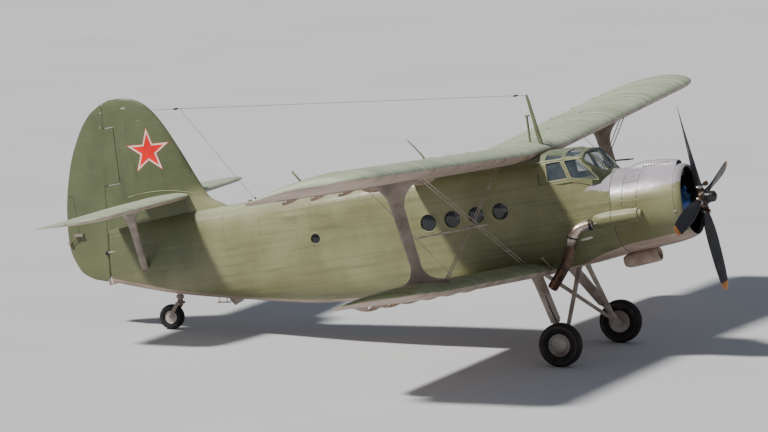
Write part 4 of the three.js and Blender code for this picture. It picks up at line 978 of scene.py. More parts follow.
def section(row, inset=0.0, count=88):
    x, half, bottom, top, squareness = row
    half, bottom, top = half - inset, bottom + inset, top - inset
    middle, height = (bottom + top) / 2, (top - bottom) / 2

    def squared(value):
        return math.copysign(abs(value) ** (2 / squareness), value)
    turns = [math.tau * (i + 0.5) / count for i in range(count)]
    return [Vector((x, half * squared(math.cos(t)), middle + height * squared(math.sin(t)))) for t in turns]


def skin_y(x, z):
    """The fuselage's half width at a place on its side."""
    _, half, bottom, top, squareness = smooth_rows(FUSELAGE, [x])[0]
    share = abs((z - (bottom + top) / 2) / ((top - bottom) / 2))
    return half * (1 - min(share, 1) ** squareness) ** (1 / squareness)


def hull(start, end, steps, paint, inset=0.0):
    stations = [start - inset, *spaced(start, end, steps)[1:-1], end + inset]
    return ring_loft([section(row, inset) for row in smooth_rows(FUSELAGE, stations)], paint)


def round_hole(x, z, radius):
    return rod((x, -BODY_SIDE_Y, z), (x, BODY_SIDE_Y, z), radius * 2, None, 40)


def doorway(door, inset=0.0, front_inset=None):
    rear, front, bottom, top = door
    front_inset = inset if front_inset is None else front_inset
    return box_form((rear + inset, 0.5, bottom + inset), (front - front_inset, BODY_SIDE_Y, top - inset))


def paint_inside(form):
    """Faces deeper than the skin's outer part get the inside's paint."""
    depth = WALL / 2
    for i, face in enumerate(form.faces):
        centre = sum((form.points[corner] for corner in face), Vector()) / len(face)
        _, half, bottom, top, squareness = smooth_rows(FUSELAGE, [centre.x])[0]
        side = abs(centre.y) / (half - depth)
        height = abs(centre.z - (bottom + top) / 2) / ((top - bottom) / 2 - depth)
        if side ** squareness + height ** squareness < 1:
            form.paints[i] = INTERIOR
    return form


def build_fuselage():
    inner = kept(hull(NOSE_X, CABIN_END, HULL_STEPS, INTERIOR, WALL), slab(FLOOR_Z, CEILING_Z))
    shell = cut(hull(NOSE_X, CABIN_END, HULL_STEPS, OLIVE_SKIN), inner)
    holes = [round_hole(*place) for place in PORTHOLES]
    cockpit = box_form((COCKPIT_REAR, -BODY_SIDE_Y, SILL_Z), (COCKPIT_FRONT, BODY_SIDE_Y, 4))
    cabin = paint_inside(cut(shell, *holes, cockpit, doorway(CARGO_DOOR)))
    cargo = paint_inside(cut(kept(shell, doorway(CARGO_DOOR, GAP)), doorway(CABIN_DOOR)))
    leaf = paint_inside(cut(kept(shell, doorway(CABIN_DOOR, GAP, GAP * 5)), round_hole(*DOOR_WINDOW)))
    frame_knuckles, door_knuckles = cargo_hinges()
    frame_arms, door_arms = cabin_door_hinges()
    piece("cabin_skin", combined(cabin, *frame_knuckles), "cabin_shell", sharp=30)
    piece("cargo_door_skin", combined(cargo, door_stop(), *door_knuckles, *frame_arms), "cargo_door",
          sharp=30)
    piece("cabin_door_skin", combined(leaf, *door_arms), "cabin_door", sharp=30)
    build_portholes()
    cone = cut(hull(CABIN_END - JOINT_GAP, TAIL_X, 36, OLIVE_SKIN), behind_hinge(0.06))
    piece("tail_cone_skin", combined(cone, pintle_lug()), "tail_cone", sharp=30)


def cargo_hinges():
    """Knuckles along the cargo door's top edge, on the frame and on the door by turns."""
    y, z, radius, length = 0.884, 2.978, 0.01, 0.07
    frame_side, door_side = [], []
    for x in halfway(CARGO_DOOR[0], CARGO_DOOR[1], 3):
        frame_side += [rod((x - length, y, z), (x, y, z), radius * 2, OLIVE_SKIN),
                       box_form((x - length, 0.8, z), (x, y, z + radius), OLIVE_SKIN)]
        door_side += [rod((x + JOINT_GAP, y, z), (x + length, y, z), radius * 2, OLIVE_SKIN),
                      box_form((x + JOINT_GAP, y - 0.009, z - 0.05), (x + length, y + 0.005, z), OLIVE_SKIN)]
    return frame_side, door_side


def door_stop():
    """A thin strip on the cargo door that covers the gap outside the cabin door's free edge."""
    _, front, bottom, top = CABIN_DOOR
    rear, front = front - 0.042, front + 0.012
    rows = ((rear, 0.0012), (front, -0.002), (front, 0.005), (rear, 0.005))
    return ring_loft([[Vector((x, skin_y(x, z) + lift, z)) for x, lift in rows]
                      for z in spaced(bottom + 0.002, top - 0.002, 30)], OLIVE_SKIN)


def cabin_door_hinges():
    """Arms inside the wall that set the cabin door's hinge line back, so that it opens inward."""
    x, y, wall_y, half = CABIN_DOOR[0] + GAP, 0.7, 0.825, 0.011
    frame_side, door_side = [], []
    for z in CABIN_DOOR_HINGES:
        bottom, joint, top = z - 0.03, z + JOINT_GAP, z + 0.03
        frame_side += [box_form((x - 0.07, y - half, bottom), (x - 0.012, wall_y, z), INTERIOR),
                       box_form((x - 0.07, y - half, bottom), (x + half, y + half, z), INTERIOR)]
        door_side += [box_form((x, y - half, joint), (x + 0.058, wall_y, top), INTERIOR),
                      box_form((x - half, y - half, joint), (x + 0.058, y + half, top), INTERIOR)]
    return frame_side, door_side


def porthole(x, z, radius, sign=1):
    """A pressed ring with its rubber seal, a few millimetres proud of the skin, and its pane."""
    y = skin_y(x, z)
    rows = [(-0.045, -0.012), (-0.045, 0.002), (0.001, 0.002), (0.001, 0.028), (0.006, 0.024),
            (0.008, 0.006), (0.006, -0.008), (0.0, -0.012)]
    ring = lathe([(at, radius + out) for at, out in rows], OLIVE_SKIN, (0, sign, 0), (x, sign * y, z), 48,
                 True)
    pane_rows = [(-0.014, 0), (-0.014, radius - 0.004), (-0.006, radius - 0.004), (0.004, radius * 0.7),
                 (0.01, 0)]
    return ring, lathe(pane_rows, PORTHOLE_GLASS_PAINTED_SHADE, (0, sign, 0), (x, sign * (y - 0.02), z), 48)


def build_portholes():
    for side, sign in SIDES.items():
        rings, panes = zip(*[porthole(*place, sign) for place in PORTHOLES])
        piece(f"porthole_rings_{side}", combined(*rings), slot="olive_paint")
        piece(f"porthole_panes_{side}", combined(*panes), slot="glazing")
    ring, pane = porthole(*DOOR_WINDOW)
    piece("door_window_ring", ring, body="cabin_door", slot="olive_paint")
    piece("door_window_pane", pane, body="cabin_door", slot="glazing")


# Fin, rudder, tailplane and elevators
RUDDER_PIN = joint_place("rudder_turn")
RUDDER_AXIS = (TO_DATUM.to_3x3() @ Vector(joints["rudder_turn"]["axis"])).normalized()
ELEVATOR_PIN = joint_place("elevator_left_turn")
ABOVE_FIN, BEHIND_RUDDER = 7, -12
# Columns are z, leading edge x, trailing edge x and full thickness.
FIN = [
    (2.362, -9.0, -9.33, 0.05), (2.44, -8.8, -9.57, 0.08), (2.64, -8.4, -9.818, 0.11),
    (3.12, -6.45, -9.955, 0.19), (3.4, -6.63, -9.938, 0.215), (3.6, -6.935, -9.91, 0.225),
    (3.85, -7.067, -9.87, 0.225), (4.6, -7.383, -9.648, 0.2), (5.2, -7.675, -9.335, 0.15),
    (5.5, -7.9, -9.08, 0.1), (5.65, -8.13, -8.83, 0.06), (5.715, -8.36, -8.64, 0.024),
]
FIN_FOOT = 3.25
BALANCE = {"low": 4.145, "high": 5.2, "low_reach": 0.34, "high_reach": 0.235}
COVE_SWELL, NOSE_SWELL = 0.009, -0.0005
# Columns are y, leading edge x, trailing edge x and thickness as a share of the chord.
TAILPLANE = [
    (0.09, -7.33, -9.035, 0.1), (3.08, -7.58, -9.035, 0.095), (3.38, -7.67, -9.023, 0.08),
    (3.55, -7.82, -8.945, 0.06), (3.6, -7.98, -8.815, 0.03),
]
TAILPLANE_TIP = (3.38, 3.43, 3.47, 3.505, 3.53, 3.555, 3.575, 3.588, 3.596, 3.6)
ELEVATOR = {"y0": 0.306, "y1": 3.594, "bay": 0.299, "nose": 0.056}


def hinge_x(z):
    return RUDDER_PIN.x + (z - RUDDER_PIN.z) * RUDDER_AXIS.x / RUDDER_AXIS.z


def behind_hinge(offset):
    return plate([(hinge_x(0) + offset, 0), (hinge_x(ABOVE_FIN) + offset, ABOVE_FIN),
                  (BEHIND_RUDDER, ABOVE_FIN), (BEHIND_RUDDER, 0)], -2, 2)


def balance_zone(clearance):
    low, high = BALANCE["low"] - clearance, BALANCE["high"] + clearance
    return plate([(hinge_x(low) - 0.02, low), (hinge_x(low) + BALANCE["low_reach"] + clearance, low),
                  (hinge_x(high) + BALANCE["high_reach"] + clearance, high), (hinge_x(high) - 0.02, high)],
                 -2, 2)


def pintle_lug():
    foot, seat = 2.29, 2.335
    web = plate([(hinge_x(foot), foot), (hinge_x(foot), seat - 0.02), (-9.215, seat - 0.015), (-9.19, 2.4),
                 (-8.96, 2.35), (-9.15, foot)], -0.018, 0.018, GEAR_PAINT)
    return combined(web,
                    rod((hinge_x(foot), 0, foot), (hinge_x(seat), 0, seat - JOINT_GAP), 0.056, GEAR_PAINT))


def fin_half(x, z, lift=0.0):
    """The fin's half thickness at a place on its side."""
    _, lead, trail, thickness = smooth_rows(FIN, [z])[0]
    return thickness * half_thickness(min(max((lead - x) / (lead - trail), 0), 1)) + lift


def hinge_tube(swell, low, high, paint=None):
    """The rudder's round nose, as thick as the fin at the hinge, or the cove round it."""
    heights = spaced(low, high, 24)
    return tube([(hinge_x(z), 0, z) for z in heights], [fin_half(hinge_x(z), z, swell) for z in heights],
                paint, 28)


def fin_form():
    heights = [*spaced(FIN[0][0], 3.0, 9)[:-1], *spaced(3.0, 5.5, 42)[:-1], *spaced(5.5, FIN[-1][0], 14)]
    rings = []
    for z, lead, trail, thickness in smooth_rows(FIN, heights):
        chord = lead - trail
        slack = 0.003 * math.sin(math.pi * z / 0.36) ** 2 if 3.6 < z < 5.5 else 0
        ring = aerofoil(chord, thickness / chord, False, slack, 28)
        rings.append([Vector((lead - x, y, z)) for x, y in ring])
    return ring_loft(rings, TAIL_GREEN)


def build_fin():
    whole = fin_form()
    fin = cut(kept(whole, slab(FIN_FOOT, FAR)), behind_hinge(0.004), hinge_tube(COVE_SWELL, 2.0, 5.69),
              balance_zone(0.012))
    edge = [(-8.55, 3.86), *quadratic((-8.4, 3.875), (-7.8, 3.95), (-7.17, 3.718), 18)]
    # The raised bead along the root fairing's edge is painted pale as a painted highlight.
    bead = tube([(x, fin_half(x, z, 0.001), z) for x, z in edge], 0.0065, CANOPY_PALE, 8)
    piece("fin_skin", combined(fin, bead, bead.mirrored()), "fin", sharp=40)
    nose = hinge_tube(NOSE_SWELL, 2.44, 5.62, TAIL_GREEN)
    pin = rod((hinge_x(2.335), 0, 2.335), (hinge_x(2.47), 0, 2.47), 0.044, GEAR_PAINT)
    rudder = shaped(kept(whole, behind_hinge(0)), "UNION", kept(whole, balance_zone(0)), nose)
    piece("rudder_skin", combined(rudder, pin, *rudder_fittings()), "rudder", sharp=40)
    fairing = bar((-9.2, -0.075, 2.89), (-8.93, -0.1, 2.912), 0.05, 0.045, GEAR_PAINT, 20, 0.6)
    lever = plate([(-9.23, 2.86), (-9.21, 2.93), (-9.14, 2.9), (-9.14, 2.87)], -0.1, -0.03, ENGINE_BLACK,
                  0.004)
    piece("rudder_drive", combined(fairing, lever), slot="strut_grey")


def rudder_fittings():
    """The trim tab's rod and horns at the rudder's trailing edge."""
    horn = plate([(-9.8, 3.3), (-9.62, 3.275), (-9.62, 3.325), (-9.79, 3.345)], -0.085, -0.02, STRUT_PAINT,
                 0.004)
    tab_rod = rod((-9.72, -0.08, 3.31), (-9.925, -0.05, 3.19), 0.012, STRUT_PAINT, 8)
    tab_horn = plate([(-9.95, 3.16), (-9.9, 3.16), (-9.89, 3.2), (-9.95, 3.21)], -0.07, -0.01, STRUT_PAINT,
                     0.003)
    return horn, tab_rod, tab_horn


STAR = {"x": -7.98, "z": 4.65, "radius": 0.45, "lean": math.radians(4), "notch": 0.382}
STAR_SHARES = (0.28, 0.55, 0.76, 0.955, 1)
STAR_LIFTS = (0.0022, -0.003)


def star_decal():
    """A plain five-pointed star on the fin's skin: red, with a white border and a thin red edge."""
    steps = 5
    corners = []
    for i in range(10):
        turn, reach = STAR["lean"] + i * math.pi / 5, STAR["radius"] * (STAR["notch"] if i % 2 else 1)
        corners.append(Vector((math.sin(turn) * reach, math.cos(turn) * reach)))
    edge = [start.lerp(end, step / steps) for start, end in zip(corners, corners[1:] + corners[:1])
            for step in range(steps)]
    count, rows = len(edge), len(STAR_SHARES)
    layer, outer = rows * count + 1, (rows - 1) * count
    points, faces, paints = [], [], []
    for level, lift in enumerate(STAR_LIFTS):
        reached = [point * share for share in STAR_SHARES for point in edge]
        for point in [*reached, Vector((0, 0))]:
            x, z = STAR["x"] + point.x, STAR["z"] + point.y
            points.append((x, fin_half(x, z, lift), z))
        base = level * layer
        for i in range(count):
            j = (i + 1) % count
            sector = [(base + rows * count, base + i, base + j)]
            sector += [(base + row + i, base + row + count + i, base + row + count + j, base + row + j)
                       for row in range(0, outer, count)]
            faces += [face[::-1] if level else face for face in sector]
            paints += [STAR_RED] * 3 + [STAR_WHITE, STAR_RED]
    faces += [(outer + i, outer + layer + i, outer + layer + (i + 1) % count, outer + (i + 1) % count)
              for i in range(count)]
    form = Form(points, faces, STAR_RED)
    form.paints[:len(paints)] = paints
    return outward(form)


def build_tailplane():
    stations = wing_stations(TAILPLANE[0][0], 3.3) + [(y, 0) for y in TAILPLANE_TIP]
    rings = []
    outline = smooth_rows(TAILPLANE, [y for y, _ in stations])
    for (y, sag), (_, lead, trail, thickness) in zip(stations, outline):
        rings.append(wing_ring(lead, y, ELEVATOR_PIN.z, lead - trail, thickness, False, sag * 0.004))
    whole = ring_loft(rings, TAIL_FABRIC)
    hinge, y0, y1 = ELEVATOR_PIN.x, ELEVATOR["y0"], ELEVATOR["y1"]

    def nose_tube(swell, start, end, paint=None):
        places = spaced(start, end, 30)
        radii = [(lead - trail) * share * half_thickness((lead - hinge) / (lead - trail)) + swell
                 for _, lead, trail, share in smooth_rows(TAILPLANE, places)]
        return tube([(hinge, y, ELEVATOR_PIN.z) for y in places], radii, paint, 28)
    fixed = cut(whole, zone(-FAR, hinge + 0.004, -FAR, FAR),
                nose_tube(COVE_SWELL, ELEVATOR["bay"], TAILPLANE[-1][0]),
                zone(-FAR, hinge + ELEVATOR["nose"], -FAR, ELEVATOR["bay"]))
    moving = combined(kept(whole, zone(-FAR, hinge, y0, y1)), nose_tube(NOSE_SWELL, y0, y1, TAIL_FABRIC))
    pair("star", star_decal(), slot="olive_paint", sharp=30)
    pair("tailplane_skin", fixed, "tailplane", sharp=40)
    pair("elevator_skin", moving, "elevator", sharp=40)


# Struts and undercarriage
def edge_at(path, z):
    ordered = sorted((point.y, point.x) for point in path)
    for (z0, x0), (z1, x1) in zip(ordered, ordered[1:]):
        if z0 <= z <= z1:
            return x0 + (x1 - x0) * (z - z0) / max(z1 - z0, 1e-9)
    return ordered[0][1] if z < ordered[0][0] else ordered[-1][1]


def build_interplane_struts():
    rear = [*quadratic((-1.31, 1.745), (-1.06, 1.8), (-1.05, 2.08)),
            *quadratic((-1.222, 3.13), (-1.25, 3.48), (-1.56, 3.545))]
    front = [*quadratic((-0.37, 1.765), (-0.8, 1.79), (-0.85, 2.08)),
             *quadratic((-0.962, 3.13), (-0.9, 3.56), (-0.19, 3.68), 12)]
    rings = []
    for z in sorted({round(point.y, 4) for point in rear + front} | {1.6, 3.76}):
        x0, x1 = edge_at(rear, z), edge_at(front, z)
        rings.append(ellipse(Vector(((x0 + x1) / 2, STRUT_Y, z)), Vector(ALONG_X), PORT, x1 - x0, 0.09, 36))
    pair("interplane_strut_skin", ring_loft(rings, STRUT_PAINT), "interplane_strut", sharp=50)


def build_tail_struts():
    top, foot = Vector((-7.985, 1.5, 3.7)), Vector((-8.43, 0.2, 2.5))
    along = (top - foot).normalized()
    ahead = (Vector(ALONG_X) - along * along.x).normalized()
    widths = smooth_rows([(0, 0.14), (0.62, 0.15), (0.8, 0.19), (0.92, 0.31), (1, 0.54)], spaced(0, 1, 24))
    flat = along.cross(ahead)
    rings = [ellipse(foot.lerp(top, share), ahead, flat, width, 0.056, 32) for share, width in widths]
    pair("tail_strut_skin", ring_loft(rings, STRUT_PAINT), "tailplane_strut", sharp=50)


def build_main_gear():
    top, join = Vector((-0.52, 0.88, 1.29)), Vector((-0.15, 1.31, 0.42))
    down = (join - top).normalized()
    collar = join - down * 0.012
    leg = combined(
        bar(top, join, 0.215, 0.11, GEAR_PAINT, 36, 0.92),
        bar(collar, collar + down * 0.05, 0.15, 0.104, CHROME_STEEL, 28),
        rod(join, (0, 1.48, 0.04), 0.096, GEAR_PAINT, 28),
        bar(top - down * 0.02, top + down * 0.13, 0.25, 0.14, GEAR_PAINT, 36, 0.9),
        bar((0, 1.425, 0.004), (0, 1.515, 0.004), 0.132, 0.12, GEAR_PAINT, 28),
        rod((0, 1.44, 0), (0, 1.734, 0), 0.078, CHROME_STEEL, 28),
        *[rod((0, y, 0), (0, y + 0.012, 0), 0.16, GEAR_PAINT, 28) for y in (1.43, 1.5)],
        tube(bent([(-0.33, 1.12, 0.9), (-0.2, 1.3, 0.6), (-0.06, 1.42, 0.3), (-0.02, 1.5, 0.12)]), 0.009,
             RUBBER, 8),
        rod((-0.31, 1.02, 0.86), (-0.42, 0.9, 1.12), 0.03, GEAR_PAINT, 14),
    )
    arms = []
    hub = Vector((0, 1.42, 0.024))
    for end in (Vector((0.091, 0.19, 1.27)), Vector((-0.85, 0.19, 1.27))):
        way = (hub - end).normalized()
        arms += [bar(end, hub, 0.105, 0.058, GEAR_PAINT, 32, 0.75),
                 bar(end - way * 0.01, end + way * 0.16, 0.125, 0.075, GEAR_PAINT, 28, 0.86),
                 bar(hub - way * 0.14, hub - way * 0.02, 0.092, 0.06, GEAR_PAINT, 28)]
    pair("gear_leg_skin", leg, "shock_strut", sharp=40)
    pair("gear_brace_skin", combined(*arms), "gear_brace", sharp=40)


MAIN_WHEEL = {"y": 1.68, "radius": 0.4, "width": 0.26, "rim": 0.205}
TAIL_WHEEL = {"radius": 0.235, "width": 0.2, "rim": 0.12}


def both_ways(rows):
    return rows + [(-distance, radius) for distance, radius in reversed(rows)]


def tyre_rows(wheel, ribs):
    """Half the tyre's section is worked out and mirrored: side wall, shoulder and a ribbed crown."""
    half, radius, rim = wheel["width"] / 2, wheel["radius"], wheel["rim"]
    wall = radius - rim
    side = [(half * 0.64, rim - 0.002), (half * 0.74, rim + wall * 0.05), (half * 0.84, rim + wall * 0.08)]
    side += [(half * (0.5 + 0.5 * math.cos(turn)), rim + wall * (0.5 + 0.48 * math.sin(turn)))
             for turn in spaced(-math.pi * 0.32, math.pi * 0.46, 14)]
    crown = []
    for i in range(ribs):
        edges = [half * 0.46 * (1 - 2 * (i + part) / (2 * ribs - 1)) for part in (0, 0.62)]
        crown += [(at, radius - 0.016 * (at / half) ** 2) for at in edges]
        crown.append((edges[1] - 0.001, radius - 0.011))
    side = [row for row in side if row[1] < radius - 0.012]
    return both_ways(side + [row for row in crown if row[0] > 0.002])


def build_wheels():
    y, rim = MAIN_WHEEL["y"], MAIN_WHEEL["rim"]
    hub_rows = [
        (-0.079, 0), (-0.08, 0.045), (-0.08, 0.17), (-0.086, rim - 0.004), (-0.084, rim + 0.006),
        (-0.078, rim), (0.078, rim), (0.084, rim + 0.006), (0.09, rim - 0.003), (0.082, 0.19),
        (0.062, 0.18), (0.056, 0.168), (0.056, 0.15), (0.075, 0.146), (0.096, 0.138), (0.112, 0.118),
        (0.121, 0.085), (0.125, 0.04), (0.126, 0),
    ]
    hub = lathe(hub_rows, WHEEL_PAINT, PORT, (0, y, 0), 72)
    for turn in halfway(0, math.tau, 12):
        x, z = math.cos(turn) * 0.16, math.sin(turn) * 0.16
        hub.add(rod((x, y + 0.05, z), (x, y + 0.064, z), 0.014, CHROME_STEEL, 6))
    hub.add(rod((0.178, y + 0.05, 0), (0.184, y + 0.085, 0), 0.009, RUBBER, 8))
    pair("main_tyre_skin", lathe(tyre_rows(MAIN_WHEEL, 4), RUBBER, PORT, (0, y, 0), 96, True), "main_tyre",
         sharp=30)
    pair("main_hub_skin", hub, "main_hub", sharp=30)
    centre = joint_place("tail_wheel_spin")
    half = TAIL_WHEEL["width"] / 2 - 0.02
    side_rows = [(half, 0.019), (half, 0.05), (half - 0.012, 0.06), (0.062, 0.08), (0.058, 0.108),
                 (0.066, 0.118), (0.068, 0.126)]
    piece("tail_wheel_skin", combined(lathe(tyre_rows(TAIL_WHEEL, 3), RUBBER, PORT, centre, 80, True),
                                      lathe(both_ways(side_rows), WHEEL_PAINT, PORT, centre, 56, True)),
          "tail_wheel", sharp=30)


# Cowl, scoop, coolers and pipes
# Columns are x and radius, from the rear edge over the outside to the lip, and back along the inside.
COWL_OUTER = [(1.081, 0.772), (1.3, 0.769), (1.65, 0.757), (1.85, 0.743), (2.0, 0.73), (2.13, 0.713),
              (2.262, 0.6895)]
COWL_GROOVE = [(2.2625, 0.682), (2.2705, 0.68)]
COWL_LIP = [(2.271, 0.6865), (2.29, 0.683), (2.325, 0.674), (2.36, 0.664), (2.385, 0.653), (2.4, 0.643),
            (2.404, 0.636), (2.401, 0.629), (2.394, 0.625)]
COWL_INNER = [(2.33, 0.632), (2.2, 0.65), (2.0, 0.69), (1.65, 0.72), (1.081, 0.735)]
THRUST_LINE = (0, 0, THRUST_Z)
# Columns are x, half width and top.
SCOOP = [(1.262, 0.14, 2.85), (1.4, 0.185, 2.918), (1.62, 0.2, 2.945), (2.184, 0.19, 2.892),
         (2.262, 0.18, 2.866)]
SCOOP_MOUTH_X = 2.08
PIPE_ROUTE = [(0.714, -0.872, 2.01), (0.6, -0.9, 2.004), (0.45, -0.945, 1.965), (0.345, -0.972, 1.86),
              (0.285, -0.985, 1.7), (0.19, -0.992, 1.49), (0.04, -1.0, 1.27), (-0.215, -1.0, 0.985)]
# Where the clamps sit, as shares of the pipe's length
CLAMPS = (0.02, 0.07, 0.46, 0.84)


def build_cowl():
    sides = 128
    rows = [*COWL_OUTER, *COWL_GROOVE, *COWL_LIP, *COWL_INNER]
    skin = lathe(rows, COWL_SKIN, ALONG_X, THRUST_LINE, sides, True)
    inside = (len(rows) - len(COWL_INNER)) * sides
    for i in range(inside, len(skin.faces) - sides):
        skin.paints[i] = ENGINE_BLACK
    piece("cowl_shell", skin, "cowl", sharp=30)


def build_scoop():
    def body(inset, start, end, paint):
        rows = smooth_rows(SCOOP, spaced(start, end, 16))
        return ring_loft([section((x, half - inset, 2.56, top - inset, 2.8), 0, 64)
                          for x, half, top in rows], paint)
    mouth = kept(body(0.014, SCOOP_MOUTH_X, 2.3, ENGINE_BLACK),
                 box_form((SCOOP_MOUTH_X, -0.4, 2.5), (2.35, 0.4, 3.0)))
    piece("scoop_shell", cut(body(0, SCOOP[0][0], SCOOP[-1][0], COWL_SKIN), mouth), "nose_scoop")


def build_oil_cooler():
    axis = Matrix.Rotation(math.radians(-4.4), 3, "Y") @ Vector(ALONG_X)
    start = Vector((0.903, 0, 1.186))
    rows = [(0.0, 0), (0.0, 0.07), (0.004, 0.094), (0.045, 0.115), (0.09, 0.131), (0.2, 0.137), (0.64, 0.14),
            (0.69, 0.134), (0.703, 0.122), (0.7, 0.112), (0.56, 0.104), (0.56, 0.0)]
    shell = lathe(rows, UNDER_PAINT_WARM_BOUNCE, axis, start, 64)
    grille, half = start + axis * 0.58, 0.095
    for y in spaced(-0.08, 0.08, 14):
        shell.add(rod(grille + Vector((0, y, -half)), grille + Vector((0, y, half)), 0.004, CHROME_STEEL, 4))
    piece("oil_cooler_shell", shell, "oil_cooler_duct")


def build_exhaust():
    route = bent(PIPE_ROUTE, 8)
    count = len(route)
    pipe = tube(route, [0.09 + 0.0012 * math.sin(i * 2.1) for i in range(count)], HEATED, 40)
    bore = tube(route[count * 2 // 3:] + [route[-1] + (route[-1] - route[-2]) * 0.5], 0.083, SOOT, 40)
    parts = [cut(pipe, bore), tube(route[int(count * 0.62):-1], 0.096, HEATED, 40)]
    for share in CLAMPS:
        i = int(share * (count - 2))
        band = (route[i + 1] - route[i]).normalized() * 0.03
        screw = route[i] + Vector((0.1, 0, 0))
        parts += [rod(route[i], route[i] + band, 0.196, ENGINE_BLACK, 40),
                  rod(screw, screw + band, 0.03, CHROME_STEEL, 8)]
    piece("exhaust_pipe_skin", combined(*parts), "exhaust_pipe", sharp=40)
    rows = [(0.715, 0), (0.715, 0.09), (0.72, 0.1), (0.76, 0.126), (0.88, 0.138), (1.06, 0.142),
            (1.066, 0.147), (1.09, 0.147), (1.096, 0.138), (1.4, 0.136), (1.56, 0.128), (1.59, 0.122),
            (1.592, 0.096), (1.604, 0.094), (1.645, 0.088), (1.664, 0.07), (1.668, 0.05), (1.668, 0)]
    piece("heater_fairing_skin", lathe(rows, OLIVE_SKIN, ALONG_X, (0, -0.752, 2.046), 56), "heater_fairing")


# Engine: nine finned cylinders round a blue-grey crankcase
CYLINDERS = 9
CYLINDER_X = 1.88


def fins(start, end, count, root, tip, steps):
    return [(height + up, radius) for height in spaced(start, end, count)
            for up, radius in zip(steps, (root, tip, tip, root))]


def engine_cylinder():
    """One cylinder standing up from the crankcase, with its fins, rocker covers, push rods and leads."""
    z = THRUST_Z
    barrel = [(0.3, 0), (0.3, 0.088), (0.34, 0.088),
              *fins(0.345, 0.535, 15, 0.076, 0.1, (0, 0.002, 0.006, 0.008)),
              (0.55, 0.08), (0.55, 0)]
    head = [(0.545, 0), (0.545, 0.085), *fins(0.55, 0.635, 6, 0.08, 0.104, (0, 0.003, 0.007, 0.01)),
            (0.655, 0.06), (0.655, 0)]
    parts = [lathe(rows, ENGINE_BLACK, ALONG_Z, (CYLINDER_X, 0, z), 28) for rows in (barrel, head)]
    for sign in SIGNS:
        plug = (2.0, sign * 0.022, z + 0.565)
        parts += [
            bar((1.87, sign * 0.055, z + 0.63), (1.99, sign * 0.062, z + 0.615), 0.06, 0.05, ENGINE_BLACK,
                16, 0.8),
            rod((2.05, sign * 0.05, z + 0.27), (1.975, sign * 0.06, z + 0.61), 0.02, CHROME_STEEL, 10),
            rod((1.965, sign * 0.02, z + 0.56), plug, 0.022, BRONZE, 8),
            tube(bent([plug, (2.035, sign * 0.03, z + 0.5), (2.04, 0.03 * sign, z + 0.36)]), 0.006, BRONZE,
                 6),
        ]
    parts.append(bar((1.88, -0.03, z + 0.62), (1.8, -0.03, z + 0.66), 0.07, 0.06, ENGINE_BLACK, 14))
    return combined(*parts)


def build_engine():
    case_rows = [(1.081, 0), (1.081, 0.3), (1.5, 0.34), (1.72, 0.36), (1.76, 0.34), (2.0, 0.34),
                 (2.03, 0.33), (2.045, 0.3), (2.06, 0.29), (2.08, 0.265), (2.1, 0.255), (2.16, 0.245),
                 (2.2, 0.235), (2.25, 0.215), (2.285, 0.165), (2.31, 0.135), (2.33, 0.12), (2.39, 0.112),
                 (2.392, 0.06), (2.4015, 0.06), (2.4015, 0)]
    parts = [lathe(case_rows, CASE_BLUE, ALONG_X, THRUST_LINE, 64),
             lathe([(2.035, 0.335), (2.035, 0.36), (2.06, 0.36), (2.06, 0.335)], BRONZE, ALONG_X,
                   THRUST_LINE, 64, True)]
    for turn in halfway(0, math.tau, 18):
        y, z = math.cos(turn) * 0.25, THRUST_Z + math.sin(turn) * 0.25
        parts.append(rod((2.09, y, z), (2.115, y, z), 0.018, CHROME_STEEL, 6))
    cylinder = engine_cylinder()
    parts += [cylinder.moved(turned_about(THRUST_LINE, "X", i * math.tau / CYLINDERS))
              for i in range(CYLINDERS)]
    parts += [rod((2.2, 0, THRUST_Z + 0.2), (2.3, 0, THRUST_Z + 0.24), 0.09, CASE_BLUE),
              rod((2.0, 0, THRUST_Z - 0.28), (2.06, 0, THRUST_Z - 0.47), 0.13, CASE_BLUE)]
    piece("engine_detail", combined(*parts), "engine", sharp=30)


# Propeller
# Columns are radius, chord, thickness and pitch: a round root that becomes an aerofoil.
BLADE_ROWS = [
    (0.2053, 0.128, 0.122, 45), (0.3, 0.135, 0.115, 45), (0.42, 0.175, 0.096, 43), (0.64, 0.232, 0.062, 38),
    (0.9, 0.262, 0.044, 32), (1.25, 0.268, 0.03, 26), (1.56, 0.24, 0.02, 21), (1.74, 0.168, 0.012, 19),
    (1.785, 0.1, 0.008, 18), (1.8, 0.03, 0.004, 18),
]
BLADE_TIP = (1.755, 1.768, 1.779, 1.788, 1.794, 1.798, 1.8)
BLADES = 4
BLADE_TURN = 0.246


def blade_form():
    rings = []
    for radius, chord, thickness, pitch in smooth_rows(BLADE_ROWS, [*spaced(0.2053, 1.74, 40), *BLADE_TIP]):
        angle = math.radians(pitch)
        chord_axis = Vector((math.sin(angle), -math.cos(angle), 0))
        depth_axis = Vector((math.cos(angle), math.sin(angle), 0))
        ring = ellipse(Vector((0, 0, radius)), chord_axis, depth_axis, chord, thickness, 28)
        rings.append([HUB + point for point in ring])
    return ring_loft(rings, BLADE)


